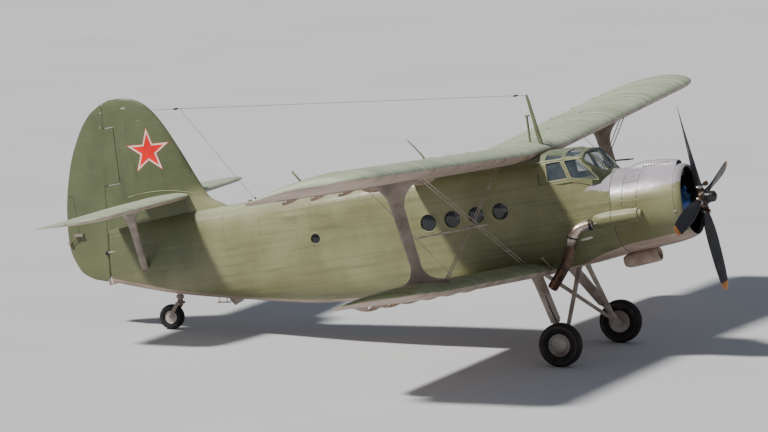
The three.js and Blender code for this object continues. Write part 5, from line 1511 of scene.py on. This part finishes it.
def build_propeller():
    x, z = HUB.x, HUB.z
    blade = blade_form()
    collar_rows = [(0.1, 0.07), (0.1, 0.088), (0.125, 0.092), (0.15, 0.088), (0.15, 0.07)]
    cuff_rows = [(0.2, 0.05), (0.2, 0.082), (0.235, 0.084), (0.25, 0.07), (0.26, 0.066), (0.26, 0.05)]
    socket = combined(
        rod((x, 0, z), (x, 0, z + 0.2), 0.156, ENGINE_BLACK, 32),
        lathe(collar_rows, BRONZE, ALONG_Z, HUB, 32, True),
        bar((x - 0.03, 0.05, z + 0.2), (x + 0.09, 0.115, z + 0.225), 0.05, 0.034, BRONZE, 16),
        bar((x + 0.07, 0.1, z + 0.215), (x + 0.135, 0.135, z + 0.232), 0.086, 0.06, BRONZE),
        rod((x + 0.125, 0.13, z + 0.23), (x + 0.145, 0.141, z + 0.236), 0.05, CHROME_STEEL, 6),
        lathe(cuff_rows, CHROME_STEEL, ALONG_Z, HUB, 36, True),
    )
    barrel_rows = [(-0.171, 0), (-0.171, 0.1), (-0.165, 0.116), (-0.1, 0.128), (-0.086, 0.15), (0.086, 0.15),
                   (0.1, 0.13), (0.108, 0.112)]
    dome_rows = [(0.09, 0), (0.105, 0.118), (0.125, 0.118), (0.13, 0.104), (0.235, 0.1), (0.262, 0.086),
                 (0.28, 0.06), (0.288, 0.03), (0.289, 0)]
    hub = combined(lathe(barrel_rows, ENGINE_BLACK, ALONG_X, HUB, 48),
                   lathe(dome_rows, DOME_BLACK, ALONG_X, HUB, 48))
    for i in range(BLADES):
        turn = turned_about(HUB, "X", BLADE_TURN + i * math.tau / BLADES)
        hub.add(socket.moved(turn))
        piece(f"blade_skin_{i + 1}", blade.moved(turn), f"propeller_blade_{i + 1}", sharp=50)
    piece("propeller_hub_detail", hub, "propeller_hub")


# Canopy and cockpit
# Columns are x, half widths at base, shoulder and roof edge, and heights of the same and of the ridge.
CANOPY = [
    (-0.159, 0.852, 0.8, 0.52, 2.83, 3.262, 3.4, 3.424), (0.3, 0.858, 0.772, 0.48, 2.83, 3.255, 3.375, 3.4),
    (0.45, 0.835, 0.73, 0.45, 2.83, 3.25, 3.355, 3.378), (0.66, 0.76, 0.64, 0.41, 2.76, 3.215, 3.31, 3.338),
    (0.8, 0.7, 0.57, 0.37, 2.7, 3.08, 3.135, 3.155), (0.93, 0.6, 0.48, 0.3, 2.7, 2.95, 2.975, 2.99),
    (1.06, 0.4, 0.3, 0.18, 2.7, 2.84, 2.865, 2.885),
]
CANOPY_REAR, CANOPY_FRONT = CANOPY[0][0], CANOPY[-1][0]
CANOPY_WALL = 0.026
# The cockpit's windows by the axis that they face, drawn in the other two axes
PANES = {
    "Y": [[(0.01, 2.902), (0.402, 2.902), (0.29, 3.228), (0.01, 3.228)],
          [(0.462, 2.895), (0.905, 2.775), (0.6, 3.215), (0.352, 3.228)]],
    "X": [[(0.235, 2.915), (0.4, 2.915), (0.455, 2.965), (0.545, 3.09), (0.6, 3.185), (0.4, 3.285),
           (0.235, 3.29)]],
    "Z": [[(-0.01, 0.545), (0.29, 0.535), (0.29, 0.715), (-0.01, 0.735)],
          [(0.36, 0.12), (0.6, 0.12), (0.59, 0.6), (0.36, 0.64)]],
}
CENTRE_PANE = [(-0.2, 2.925), (0.2, 2.925), (0.2, 3.295), (-0.2, 3.295)]
# Where the window shapes along each axis start and end
REACH = {"Y": (0.3, 1.2), "X": (0.675, 1.3), "Z": (3.15, 3.8)}


def canopy_row(x):
    """The canopy table followed in straight lines."""
    x = min(max(x, CANOPY_REAR), CANOPY_FRONT)
    before, after = next(step for step in zip(CANOPY, CANOPY[1:]) if x <= step[1][0])
    share = (x - before[0]) / (after[0] - before[0])
    return [a + (b - a) * share for a, b in zip(before, after)]


def canopy_y(x, z):
    _, base, shoulder, _, base_z, shoulder_z, _, _ = canopy_row(x)
    return base + (shoulder - base) * (z - base_z) / (shoulder_z - base_z)


def canopy_body(inset, start, end, drop=0.0):
    rings = []
    for x in sorted({start, end, *[row[0] for row in CANOPY[1:-1]]}):
        _, base, shoulder, roof, base_z, shoulder_z, roof_z, ridge_z = canopy_row(x)
        half = [(base - inset, base_z - drop), (shoulder - inset, shoulder_z - inset * 0.6),
                (roof - inset * 0.6, roof_z - inset)]
        path = [*half, (0, ridge_z - inset), *[(-y, z) for y, z in reversed(half)]]
        rings.append([Vector((x, point.x, point.y)) for point in rounded(path, 0.07)])
    return ring_loft(rings, CANOPY_ROOF)


def canopy_layer(outer, inner):
    """The canopy between two depths under its outside, open below."""
    return cut(canopy_body(outer, CANOPY_REAR, CANOPY_FRONT),
               canopy_body(inner, CANOPY_REAR - 0.1, CANOPY_FRONT - 0.02, 0.3))


def pane_outline(corners, grow):
    return grown(rounded([corners[-1], *corners, corners[0]], 0.035)[1:-1], grow)


def window_shape(corners, axis, grow):
    """A window's outline drawn out along the axis that it faces."""
    at = "XYZ".index(axis)
    outline = [list(point) for point in pane_outline(corners, grow)]
    return ring_loft([[Vector((*point[:at], reach, *point[at:])) for point in outline]
                      for reach in REACH[axis]], None)


def window_shapes(grow=0.0):
    """A shape for each of the cockpit's windows, on both sides."""
    port = [window_shape(corners, axis, grow) for axis, panes in PANES.items() for corners in panes]
    return port + [tool.mirrored() for tool in port] + [window_shape(CENTRE_PANE, "X", grow)]


def canopy_paints(form):
    """Olive sides, the windscreen's frame darker for painted shade, a grey-green roof and the inside's own
    paint.
    """
    for i, face in enumerate(form.faces):
        corners = [form.points[corner] for corner in face]
        centre = sum(corners, Vector()) / len(corners)
        normal = sum((a.cross(b) for a, b in zip(corners, corners[1:] + corners[:1])), Vector()).normalized()
        if normal.dot(centre - Vector((min(centre.x, 0.3), 0, 2.75))) < 0:
            form.paints[i] = INTERIOR
        elif abs(normal.y) > 0.72:
            form.paints[i] = OLIVE_SKIN
        # Faces ahead of x 0.66, round the windscreen, take the darker olive as painted shade.
        elif centre.x > 0.66:
            form.paints[i] = CANOPY_PAINTED_SHADE
    return form


def build_canopy():
    body = hull(NOSE_X, CABIN_END, HULL_STEPS, None)
    sunk = [kept(body, slab(0, 2.872)), kept(body, box_form((COCKPIT_FRONT, -FAR, 2.8), (FAR, FAR, 4)))]
    shell = cut(canopy_layer(0, CANOPY_WALL), *sunk)
    frames = canopy_paints(cut(shell, *window_shapes()))
    trims = []
    for corners in PANES["Y"]:
        rim = pane_outline(corners, 0.008)
        trims.append(tube([(x, canopy_y(x, z) - 0.004, z) for x, z in [*rim, rim[0]]], 0.0125, CANOPY_PALE,
                          10))
    shoulders = [(x, canopy_row(x)[5]) for x in spaced(-0.15, 0.64, 12)]
    trims.append(tube([(x, canopy_y(x, z) - 0.014, z + 0.006) for x, z in shoulders], 0.014, CANOPY_PALE,
                      10))
    for trim in trims:
        frames.add(trim, trim.mirrored())
    piece("canopy_skin", frames, "canopy_frame", sharp=30)
    glass = canopy_layer(0.009, 0.015)
    panes = combined(*[kept(glass, tool) for tool in window_shapes(0.008)]).painted(GLASS)
    piece("canopy_panes", panes, "cockpit_glazing", sharp=30)
    wipers = []
    for sign in SIGNS:
        foot, tip = Vector((0.972, sign * 0.1, 2.947)), Vector((0.83, sign * 0.16, 3.128))
        wipers += [rod(foot, tip, 0.009, ENGINE_BLACK, 8),
                   rod(foot - Vector((0, 0, 0.02)), foot + Vector((0.006, 0, 0.012)), 0.03, ENGINE_BLACK,
                       14),
                   bar(tip + Vector((0.09, 0, -0.11)), tip + Vector((-0.055, sign * 0.02, 0.075)), 0.014,
                       0.01, ENGINE_BLACK, 8)]
    piece("wipers", combined(*wipers), slot="engine_dark")


SEAT_Y = 0.4
SEAT_HALF = 0.22
SEAT_BOTTOM = 2.262
LEG_X, LEG_Y = (0.16, 0.4), (-0.15, 0.15)
BELT_Y = (-0.09, 0.09)


def pad_form(low, high, crown, pull, axis):
    """A pad's closed form: its thick axis bulges by the crown and its sides pull in between the corners."""
    count = 20
    low, high = Vector(low), Vector(high)
    middle, half = (low + high) / 2, (high - low) / 2
    first, second = [i for i in range(3) if i != axis]

    def place(u, v, side):
        edge = 1 - max(abs(u), abs(v)) ** 6
        point = middle.copy()
        point[first] += half[first] * u * (1 - pull * (1 - v * v))
        point[second] += half[second] * v * (1 - pull * (1 - u * u))
        bulge = crown * (1 - u * u) * (1 - v * v) if side > 0 else 0
        point[axis] += side * (half[axis] * (0.35 + 0.65 * edge ** 0.5) + bulge)
        return point
    grid = spaced(-1, 1, count)
    width = count + 1
    layer = width * width
    faces = []
    for row in range(0, count * width, width):
        for a in range(row, row + count):
            faces.append((a, a + 1, a + width + 1, a + width))
            faces.append((layer + a, layer + a + width, layer + a + width + 1, layer + a + 1))
    rim = [*range(width), *range(width + count, layer, width), *range(layer - 2, layer - width - 1, -1),
           *range(layer - 2 * width, 0, -width)]
    faces += [(a, a + layer, b + layer, b) for a, b in zip(rim, rim[1:] + rim[:1])]
    return outward(Form([place(u, v, side) for side in (1, -1) for v in grid for u in grid], faces, CLOTH))


def puffed(form):
    """The pad swollen by a short cloth simulation; no point moves further than the cap."""
    cap, voxel, frames = 0.008, 0.006, 20
    pad = linked("temporary", form)
    remesh = pad.modifiers.new("remesh", "REMESH")
    remesh.mode, remesh.voxel_size = "VOXEL", voxel
    even = evaluated_mesh(pad)
    pad.modifiers.clear()
    pad.data = even
    swollen = Form([vertex.co for vertex in even.vertices], [polygon.vertices for polygon in even.polygons],
                   CLOTH)
    cloth = pad.modifiers.new("cloth", "CLOTH")
    cloth.settings.use_pressure = True
    cloth.settings.uniform_pressure_force = 4
    cloth.settings.effector_weights.gravity = 0
    scene = bpy.context.scene
    for number in range(1, frames + 1):
        scene.frame_set(number)
    blown = pad.evaluated_get(bpy.context.evaluated_depsgraph_get()).to_mesh()
    moves = [vertex.co - before for vertex, before in zip(blown.vertices, swollen.points)]
    scene.frame_set(1)
    swollen.points = [before + (move if move.length < cap else move.normalized() * cap)
                      for before, move in zip(swollen.points, moves)]
    bpy.data.objects.remove(pad)
    bpy.data.meshes.remove(even)
    return swollen


def build_seats():
    low_pad = puffed(pad_form((0.075, -0.2, 2.292), (0.5, 0.2, 2.352), 0.014, 0.035, 2))
    back_pad = puffed(pad_form((0.006, -0.2, 2.395), (0.066, 0.2, 2.98), 0.01, 0.03, 0))
    lean = turned_about((0.02, 0, 2.35), "Y", math.radians(-3))
    cheek = [(0.06, SEAT_BOTTOM), (0.515, SEAT_BOTTOM), (0.515, 2.31), (0.06, 2.36)]
    seat = combined(
        box_form((0.06, -SEAT_HALF, SEAT_BOTTOM), (0.515, SEAT_HALF, 2.286), INTERIOR),
        *[plate(cheek, y, y + 0.012, INTERIOR, 0.003) for y in (SEAT_HALF - 0.012, -SEAT_HALF)],
        box_form((-0.018, -0.21, 2.3), (0.002, 0.21, 2.99), INTERIOR).moved(lean),
        *[rod((x, y, 1.92), (x, y, 2.27), 0.03, INTERIOR, 12) for x in LEG_X for y in LEG_Y],
        *[bar((0.12, y, 1.935), (0.44, y, 1.935), 0.03, 0.022, INTERIOR, 10) for y in LEG_Y],
        rod((0.16, -0.15, 2.08), (0.16, 0.15, 2.08), 0.022, INTERIOR, 10),
    )
    for y in BELT_Y:
        route = bent([(0.07, y, 2.93), (0.09, y * 0.9, 2.7), (0.1, y * 0.85, 2.5), (0.18, y * 0.7, 2.385)],
                     4)
        seat.add(tube(route, 0.004, BELT, 6).moved(lean))
    both = Form()
    for side, sign in SIDES.items():
        place = Matrix.Translation((0, sign * SEAT_Y, 0))
        both.add(seat.moved(place))
        for name, pad, turn in (("seat_cushion", low_pad, Matrix()), ("back_cushion", back_pad, lean)):
            made = piece(f"{name}_{side}", pad.moved(place @ turn), slot="seat_cloth", sharp=60)
    piece("seat_frames", both, "pilot_seats")


# Columns are height, half the row's width, count and radius.
DIAL_ROWS = [(2.79, 0.38, 9, 0.036), (2.69, 0.36, 7, 0.036), (2.6, 0.3, 4, 0.03)]
LEVER_Y = (-0.06, -0.02, 0.02, 0.06)


def build_cockpit():
    """Dials, hood, control columns and the throttle pedestal's levers: plain, with no lettering."""
    face_x = 0.741
    needle_x = face_x - 0.007
    hood, half = 0.03, 0.43
    parts = [tube([(0.73, y, 2.865 - 0.02 * (y / half) ** 2) for y in spaced(-half, half, 16)], hood,
                  ENGINE_BLACK, 12)]
    for z, half, count, radius in DIAL_ROWS:
        rows = [(0, 0), (0, radius), (0.008, radius), (0.01, radius - 0.006), (0.005, radius - 0.008),
                (0.004, 0)]
        for y in spaced(-half, half, count):
            parts += [lathe(rows, ENGINE_BLACK, (-1, 0, 0), (face_x, y, z), 20),
                      rod((needle_x, y, z), (needle_x, y + 0.012, z + 0.02), 0.004, STAR_WHITE, 4)]
    for y in LEVER_Y:
        parts += [rod((0.72, y, 2.56), (0.66, y, 2.62), 0.009, CHROME_STEEL, 8),
                  rod((0.665, y, 2.613), (0.65, y, 2.632), 0.026, ENGINE_BLACK, 12)]
    for sign in SIGNS:
        y = sign * SEAT_Y
        rim = [(0.575 + 0.03 * math.cos(turn), y + 0.15 * math.sin(turn), 2.58 - 0.078 * math.cos(turn))
               for turn in spaced(-2.3, 2.3, 20)]
        parts += [rod((0.66, y, 1.93), (0.6, y, 2.52), 0.038, INTERIOR, 14),
                  tube(rim, 0.012, ENGINE_BLACK, 10),
                  rod((0.605, y, 2.5), (0.585, y, 2.52), 0.07, ENGINE_BLACK, 16),
                  rod((0.6, y - 0.14, 2.56), (0.6, y + 0.14, 2.56), 0.02, ENGINE_BLACK, 10)]
    piece("cockpit_fittings", combined(*parts), slot="engine_dark")


# Stays, wires and aerials
STAY_Y = 5.56
TIE_Y = 5.5
# Columns are name, start, end and the distance between the two bars.
STAYS = [
    ("flying", (-0.585, STAY_Y, 3.605), (-0.54, 0.8, 1.262), 0.07),
    ("landing", (-0.435, STAY_Y, 1.74), (-0.64, 1.18, 3.5), 0.05),
]
STAY_CLAMPS = (0.25, 0.75)
# Columns are start, end, width and sides.
TIES = [
    ((-0.81, STAY_Y, 2.55), (-0.45, 3.2, 2.45), 0.032, 14),
    ((-0.44, 3.17, 2.449), (-0.43, 3.1, 2.446), 0.02, 10),
    ((-1.4, TIE_Y, 3.24), (-0.34, TIE_Y, 1.8), 0.011, 8),
    ((-1.74, TIE_Y, 3.66), (-1.4, TIE_Y, 3.24), 0.011, 8),
]


def twin_stay(start, end, spread):
    """Two streamlined bars side by side, with turnbuckles at both ends and clamps between."""
    start, end = Vector(start), Vector(end)
    along = (end - start).normalized()
    apart = Vector((spread / 2, 0, 0))
    parts = []
    for offset in (-apart, apart):
        parts.append(bar(start + offset, end + offset, 0.021, 0.012, STAY_PAINT, 12))
        for foot, way in ((start + offset, along), (end + offset, -along)):
            parts += [rod(foot + way * 0.06, foot + way * 0.2, 0.026, STAY_PAINT, 12),
                      rod(foot + way * 0.2, foot + way * 0.235, 0.02, CHROME_STEEL, 6),
                      bar(foot, foot + way * 0.07, 0.034, 0.02, STAY_PAINT, 12)]
    for share in STAY_CLAMPS:
        middle = start.lerp(end, share)
        parts.append(bar(middle - apart * 1.25, middle + apart * 1.25, 0.022, 0.03, STAY_PAINT, 12))
    return combined(*parts)


def build_stays():
    for name, start, end, spread in STAYS:
        pair(f"{name}_stays", twin_stay(start, end, spread), f"{name}_wires", sharp=40)
    ties = [rod(start, end, width, STAY_PAINT, sides) for start, end, width, sides in TIES]
    pair("strut_ties", combined(*ties), slot="strut_grey")
    joint = (-0.64, STRUT_Y, 2.73)
    piece("pitot", combined(rod((-0.95, STRUT_Y, 2.752), joint, 0.034, STRUT_PAINT, 16),
                            rod(joint, (-0.56, STRUT_Y, 2.725), 0.026, ENGINE_BLACK, 16)), slot="strut_grey")


def insulator(half, radius, centre):
    rows = [(-half, 0), (-half, 0.008), (-0.02, radius), (0.02, radius), (half, 0.008), (half, 0)]
    return lathe(rows, ENGINE_BLACK, ALONG_X, centre, 14)


def aerial_foot(centre, segments, *rows, paint=MAST_PAINT):
    return lathe([(rows[0][0], 0), *rows], paint, ALONG_Z, centre, segments)


def build_aerials():
    foot, kink, top = Vector((-0.285, 0, 3.49)), Vector((-0.39, 0, 4.408)), Vector((-0.405, 0, 4.498))
    lean = Vector((1, 0, 0.11))
    rings = [ellipse(foot.lerp(kink, share), lean, PORT, 0.095 - 0.04 * share, 0.055 - 0.022 * share, 20)
             for share in spaced(0, 1, 10)]
    rings.append(ellipse(top, Vector((1, 0, 0.2)), PORT, 0.04, 0.028, 20))
    mast_foot = aerial_foot(foot, 32, (-0.01, 0.075), (0.004, 0.072), (0.022, 0.045), (0.022, 0))
    piece("mast_skin", combined(ring_loft(rings, MAST_PAINT), mast_foot), "aerial_mast", sharp=40)
    wire_start, tail_insulator = top + Vector((-0.015, 0, -0.012)), Vector((-7.31, 0, 5.341))
    wires = combined(
        rod(wire_start, tail_insulator, 0.007, WIRE, 6),
        rod(tail_insulator, (-7.8, 0, 5.4), 0.007, WIRE, 6),
        insulator(0.05, 0.018, wire_start.lerp(tail_insulator, 0.028)),
        insulator(0.055, 0.02, tail_insulator),
        tube([(-7.227, 0, 5.33), (-6.288, 0, 3.787), (-6.05, 0, 3.41)], 0.0035, WIRE, 6),
        aerial_foot((-6.05, 0, 3.42), 18, (-0.02, 0.03), (0.01, 0.026), (0.03, 0.014), (0.05, 0.012),
                    (0.05, 0), paint=ENGINE_BLACK),
        aerial_foot((-6.17, 0, 3.42), 24, (-0.02, 0.045), (0.012, 0.04), (0.02, 0)),
    )
    piece("aerial_wire", wires, slot="engine_dark")
    whips = combined(
        tube(bent([(-0.498, 0, 3.56), (-0.483, 0, 3.83), (-0.466, 0, 4.11)], 4), 0.02, MAST_PAINT, 14),
        bar((-0.466, 0, 4.1), (-0.465, 0, 4.122), 0.11, 0.07, MAST_PAINT, 24),
        aerial_foot((-0.5, 0, 3.555), 28, (-0.02, 0.08), (0.012, 0.075), (0.05, 0.028), (0.05, 0)),
        tube(bent([(-2.52, 0, 3.4), (-2.618, 0, 3.695), (-2.86, 0, 4.036)]), spaced(0.024, 0.01, 12),
             MAST_PAINT, 14),
        tube([(-4.96, 0, 3.4), (-5.1, 0, 3.62), (-5.238, 0, 3.827)], [0.026, 0.022, 0.016], MAST_PAINT, 14),
        *[aerial_foot((x, 0, 3.41), 24, (-0.02, 0.07), (0.01, 0.062), (0.02, 0)) for x in (-2.52, -4.96)],
    )
    piece("whip_aerials", whips, slot="strut_grey")
    y = -0.1
    blade = [(-6.95, 1.74), (-6.64, 1.69), (-6.661, 1.606), (-6.854, 1.54), (-6.932, 1.647)]
    low = combined(
        rod((-7.156, y, 1.655), (-6.891, y, 1.617), 0.026, GEAR_PAINT, 14),
        rod((-7.1, y, 1.66), (-7.1, y, 1.78), 0.016, GEAR_PAINT, 10),
        rod((-6.95, y, 1.63), (-6.95, y, 1.76), 0.016, GEAR_PAINT, 10),
        plate(blade, -0.006, 0.006, GEAR_PAINT, 0.002),
    )
    piece("belly_aerials", low, slot="strut_grey")


# Small fittings
def cowl_radius(x):
    """The cowl's outer radius, from the same table as its skin."""
    (x0, r0), (x1, r1) = next(step for step in zip(COWL_OUTER, COWL_OUTER[1:]) if x <= step[1][0])
    return r0 + (r1 - r0) * (x - x0) / (x1 - x0)


def on_cowl(x, z, lift=0.0):
    radius = cowl_radius(x) + lift
    return Vector((x, math.sqrt(max(radius ** 2 - (z - THRUST_Z) ** 2, 0)), z))


def off_cowl(x, z):
    """A place on the cowl's port side, and the way out from it."""
    at = on_cowl(x, z)
    return at, (at - Vector((x, 0, THRUST_Z))).normalized()


SEAM_SINK = -0.0045
# Corners are x and z: the side panel from its top rear round, and the line that divides it.
SIDE_PANEL = [(1.347, 2.796), (1.645, 2.813), (1.561, 2.189), (1.298, 2.23)]
PANEL_DIVIDE = ((1.345, 2.63), (1.628, 2.642))
FASTENER_SHARES = (0.2, 0.5, 0.8)
LATCH_X, LATCH_Z = (1.095, 2.262), (1.995, 2.445)


def build_cowl_fittings():
    parts = []
    for start, end in [*zip(SIDE_PANEL, SIDE_PANEL[1:] + SIDE_PANEL[:1]), PANEL_DIVIDE]:
        line = [on_cowl(start[0] + (end[0] - start[0]) * t, start[1] + (end[1] - start[1]) * t, SEAM_SINK)
                for t in spaced(0, 1, 14)]
        parts.append(tube(line, 0.0065, SEAM_DARK, 8))
    for share in FASTENER_SHARES:
        for start, end in ((SIDE_PANEL[0], SIDE_PANEL[3]), (SIDE_PANEL[1], SIDE_PANEL[2])):
            at, out = off_cowl(*[a + (b - a) * share for a, b in zip(start, end)])
            parts.append(bar(at - out * 0.004, at + out * 0.005, 0.026, 0.016, STAY_PAINT, 12))
    spout = [on_cowl(1.47, 2.19), on_cowl(1.5, 2.12, 0.02), on_cowl(1.53, 2.07, 0.035)]
    parts.append(tube(spout, [0.03, 0.026, 0.018], OLIVE_SKIN, 16))
    reach = Vector((0.03, 0, 0))
    for z in LATCH_Z:
        for x in LATCH_X:
            at, out = off_cowl(x, z)
            parts.append(bar(at - reach + out * 0.003, at + reach + out * 0.003, 0.022, 0.014, STAY_PAINT,
                             12))
    both = combined(*parts)
    seam_rows = [(1.076, 0.76), (1.076, 0.7738), (1.088, 0.7738), (1.088, 0.76)]
    fittings = combined(both, both.mirrored(), lathe(seam_rows, SEAM_DARK, ALONG_X, THRUST_LINE, 96, True))
    for x in spaced(1.65, 2.12, 9):
        for sign in SIGNS:
            y = sign * (0.196 - 0.012 * max(0, (x - 1.7) / 0.5))
            fittings.add(bar((x - 0.018, y, 2.87), (x + 0.018, y, 2.875), 0.014, 0.012, SEAM_DARK, 8))
    piece("cowl_fittings", fittings, slot="cowl_grey")


def on_wing_top(side, y, share):
    """A place on an upper wing panel's top: its span station and share of the chord."""
    chord = UPPER["chord"]
    height = (camber(share) + WING_THICKNESS * half_thickness(share)) * chord
    return panel_place(UPPER, side) @ Vector((-share * chord, SIDES[side] * y, height))


FILLER_CAP_Y = (1.1, 2.1, 3.0)
CAP_GRIP, CAP_LIFT = Vector((0.025, 0, 0)), Vector((0, 0, 0.009))


def build_wing_fittings():
    cap_rows = [(-0.01, 0), (-0.01, 0.07), (0.004, 0.068), (0.007, 0.05), (0.007, 0)]
    lens_rows = [(-0.03, 0), (-0.03, 0.022), (0.01, 0.026), (0.04, 0.018), (0.055, 0)]
    for (side, sign), lamp in zip(SIDES.items(), (LAMP_RED, LAMP_GREEN)):
        parts = []
        for y in FILLER_CAP_Y:
            at = on_wing_top(side, y, 0.3)
            parts += [lathe(cap_rows, UPPER_FABRIC, (0.08, 0, 1), at, 28),
                      bar(at - CAP_GRIP + CAP_LIFT, at + CAP_GRIP + CAP_LIFT, 0.012, 0.008, CHROME_STEEL, 8)]
        for y in AILERON["hinges"]:
            at = on_wing_top(side, y, 0.79)
            parts.append(bar(at + Vector((0.06, 0, 0)), at + Vector((-0.12, 0, -0.012)), 0.04, 0.034,
                             UPPER_FABRIC, 14, 0.5))
        parts.append(bar(on_wing_top(side, 0.12, 0.2), on_wing_top(side, 0.12, 0.7), 0.006, 0.02, MAST_PAINT,
                         8))
        piece(f"wing_top_fittings_{side}", combined(*parts), slot="wing_green")
        lamp_at, inboard = Vector((-1.24, sign * 9.03, 3.95)), -sign * 0.03
        lens = lathe(lens_rows, lamp, (0, sign, 0.3), lamp_at, 20)
        base = bar(lamp_at + Vector((-0.09, inboard, 0)), lamp_at + Vector((0.09, inboard, 0)), 0.05, 0.06,
                   UPPER_FABRIC, 18)
        piece(f"tip_lamp_{side}", combined(lens, base), slot="glazing")


FOOTHOLD_X, FOOTHOLD_Z = 0.2, (1.75, 2.05, 2.35)


def build_body_fittings():
    blister_rows = [(-0.12, 0), (-0.115, 0.012), (-0.08, 0.024), (0, 0.03), (0.08, 0.026), (0.118, 0.018),
                    (0.12, 0)]
    parts = [lathe(blister_rows, STAR_WHITE, (1, 0, 0.09), (0.54, -skin_y(0.54, 1.768), 1.768), 20)]
    x = FOOTHOLD_X
    for sign in SIGNS:
        parts += [rod((-0.34, sign * 0.89, 1.546), (-0.17, sign * 0.87, 1.295), 0.022, STAY_PAINT, 10),
                  rod((-0.34, sign * 0.86, 1.546), (-0.34, sign * 0.9, 1.55), 0.04, STAY_PAINT, 12)]
        for z in FOOTHOLD_Z:
            root, out = skin_y(x, z) - 0.004, skin_y(x, z) + 0.03
            step = rounded([(x - 0.06, root), (x - 0.05, out), (x + 0.05, out), (x + 0.06, root)], 0.02, 3)
            parts.append(tube([(point.x, sign * point.y, z) for point in step], 0.006, OLIVE_SKIN, 8))
    vent_rows = [(0, 0), (0, 0.03), (0.03, 0.05), (0.06, 0.05), (0.075, 0.03), (0.08, 0)]
    parts.append(lathe(vent_rows, OLIVE_SKIN, ALONG_Z, (-3.6, 0, 3.41), 28))
    piece("body_fittings", combined(*parts), slot="strut_grey")


def door_handle(x, z, tilt=0.0):
    y = skin_y(x, z)
    return combined(
        rod((x, y - 0.01, z), (x, y + 0.022, z), 0.03, CHROME_STEEL, 14),
        bar((x - 0.01, y + 0.02, z), (x + 0.09, y + 0.024, z + tilt), 0.018, 0.01, CHROME_STEEL, 10),
    )


def build_door_handles():
    for body, handles in (("cargo_door", [(-4.4, 1.9), (-3.0, 1.75)]),
                          ("cabin_door", [(-3.14, 2.12, 0.01)])):
        piece(f"{body}_handle", combined(*[door_handle(*place) for place in handles]), body=body,
              slot="strut_grey")


for build in (build_fuselage, build_fin, build_tailplane, build_interplane_struts, build_tail_struts,
              build_main_gear, build_wheels, build_cowl, build_scoop, build_oil_cooler, build_exhaust,
              build_engine, build_propeller, build_canopy, build_seats, build_cockpit, build_stays,
              build_aerials, build_cowl_fittings, build_wing_fittings, build_body_fittings,
              build_door_handles, build_wings):
    build()

# Nodes that no piece stands for keep their own shapes and get the look of their material.
PAINTS = {
    "olive_paint": OLIVE_SKIN, "wing_green": UPPER_FABRIC, "fabric_grey": UPPER_FABRIC,
    "strut_grey": STRUT_PAINT, "cowl_grey": COWL_SKIN, "burnt_steel": HEATED, "blade_black": BLADE,
    "tyre_rubber": RUBBER, "engine_dark": ENGINE_BLACK, "interior_grey": INTERIOR, "seat_cloth": CLOTH,
    "glazing": GLASS,
}
replaced = {node for made in bpy.data.objects for node in made.get("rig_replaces", [])}
for node_name in frame["nodes"]:
    if node_name not in replaced:
        piece(f"{node_name}_finish", node_form(node_name, PAINTS[material_slot(node_name)]), node_name)

# Floor, light and camera
FLOOR_HALF = 260
SKY_COLOUR, SKY_STRENGTH = tint(214, 224, 240), 0.27
SUN_COLOUR, SUN_STRENGTH, SUN_SPREAD = (1.0, 0.96, 0.9), 5.2, math.radians(5.5)
SUN_DIRECTION = Vector((0.317, 0.481, -0.817))
CAMERA_PLACE = Vector((42.15, -114.83, 8.98))
CAMERA_AIM = Vector((-3.59, 0.0, 2.73))
CAMERA_TOP = Vector((0.1515, 0.115, 0.9821))
SENSOR = 36.0
IMAGE_WIDTH = 768
FOCAL_PIXELS = 6700


def set_floor():
    shader = Shader("floor_paint", Roughness=0.85)
    paint = shader.finished(Base_Color=shader.mix(shader.patches(0.2, 4, 0.3, 0.7), tint(206, 208, 212),
                                                  tint(199, 202, 207)))
    corners = [(x * FLOOR_HALF, y * FLOOR_HALF, 0) for x, y in ((-1, -1), (1, -1), (1, 1), (-1, 1))]
    linked("floor", Form(corners, [range(4)], paint))


def set_light():
    world = bpy.data.worlds.new("studio")
    world.use_nodes = True
    background = world.node_tree.nodes["Background"]
    background.inputs["Color"].default_value = SKY_COLOUR
    background.inputs["Strength"].default_value = SKY_STRENGTH
    bpy.context.scene.world = world
    sun = bpy.data.lights.new("key", "SUN")
    sun.energy, sun.angle, sun.color = SUN_STRENGTH, SUN_SPREAD, SUN_COLOUR
    key = bpy.data.objects.new("key", sun)
    key.rotation_mode = "QUATERNION"
    key.rotation_quaternion = (DATUM.to_3x3() @ SUN_DIRECTION).to_track_quat("-Z", "Y")
    bpy.context.scene.collection.objects.link(key)


def set_camera():
    camera = bpy.data.cameras.new("camera")
    camera.sensor_width = SENSOR
    camera.lens = SENSOR * FOCAL_PIXELS / IMAGE_WIDTH
    camera.clip_end = 1000
    viewer = bpy.data.objects.new("camera", camera)
    bpy.context.scene.collection.objects.link(viewer)
    back = (CAMERA_PLACE - CAMERA_AIM).normalized()
    right = CAMERA_TOP.cross(back).normalized()
    turn = Matrix((right, back.cross(right), back)).transposed().to_4x4()
    viewer.matrix_world = DATUM @ Matrix.Translation(CAMERA_PLACE) @ turn
    bpy.context.scene.camera = viewer


set_floor()
set_light()
set_camera()
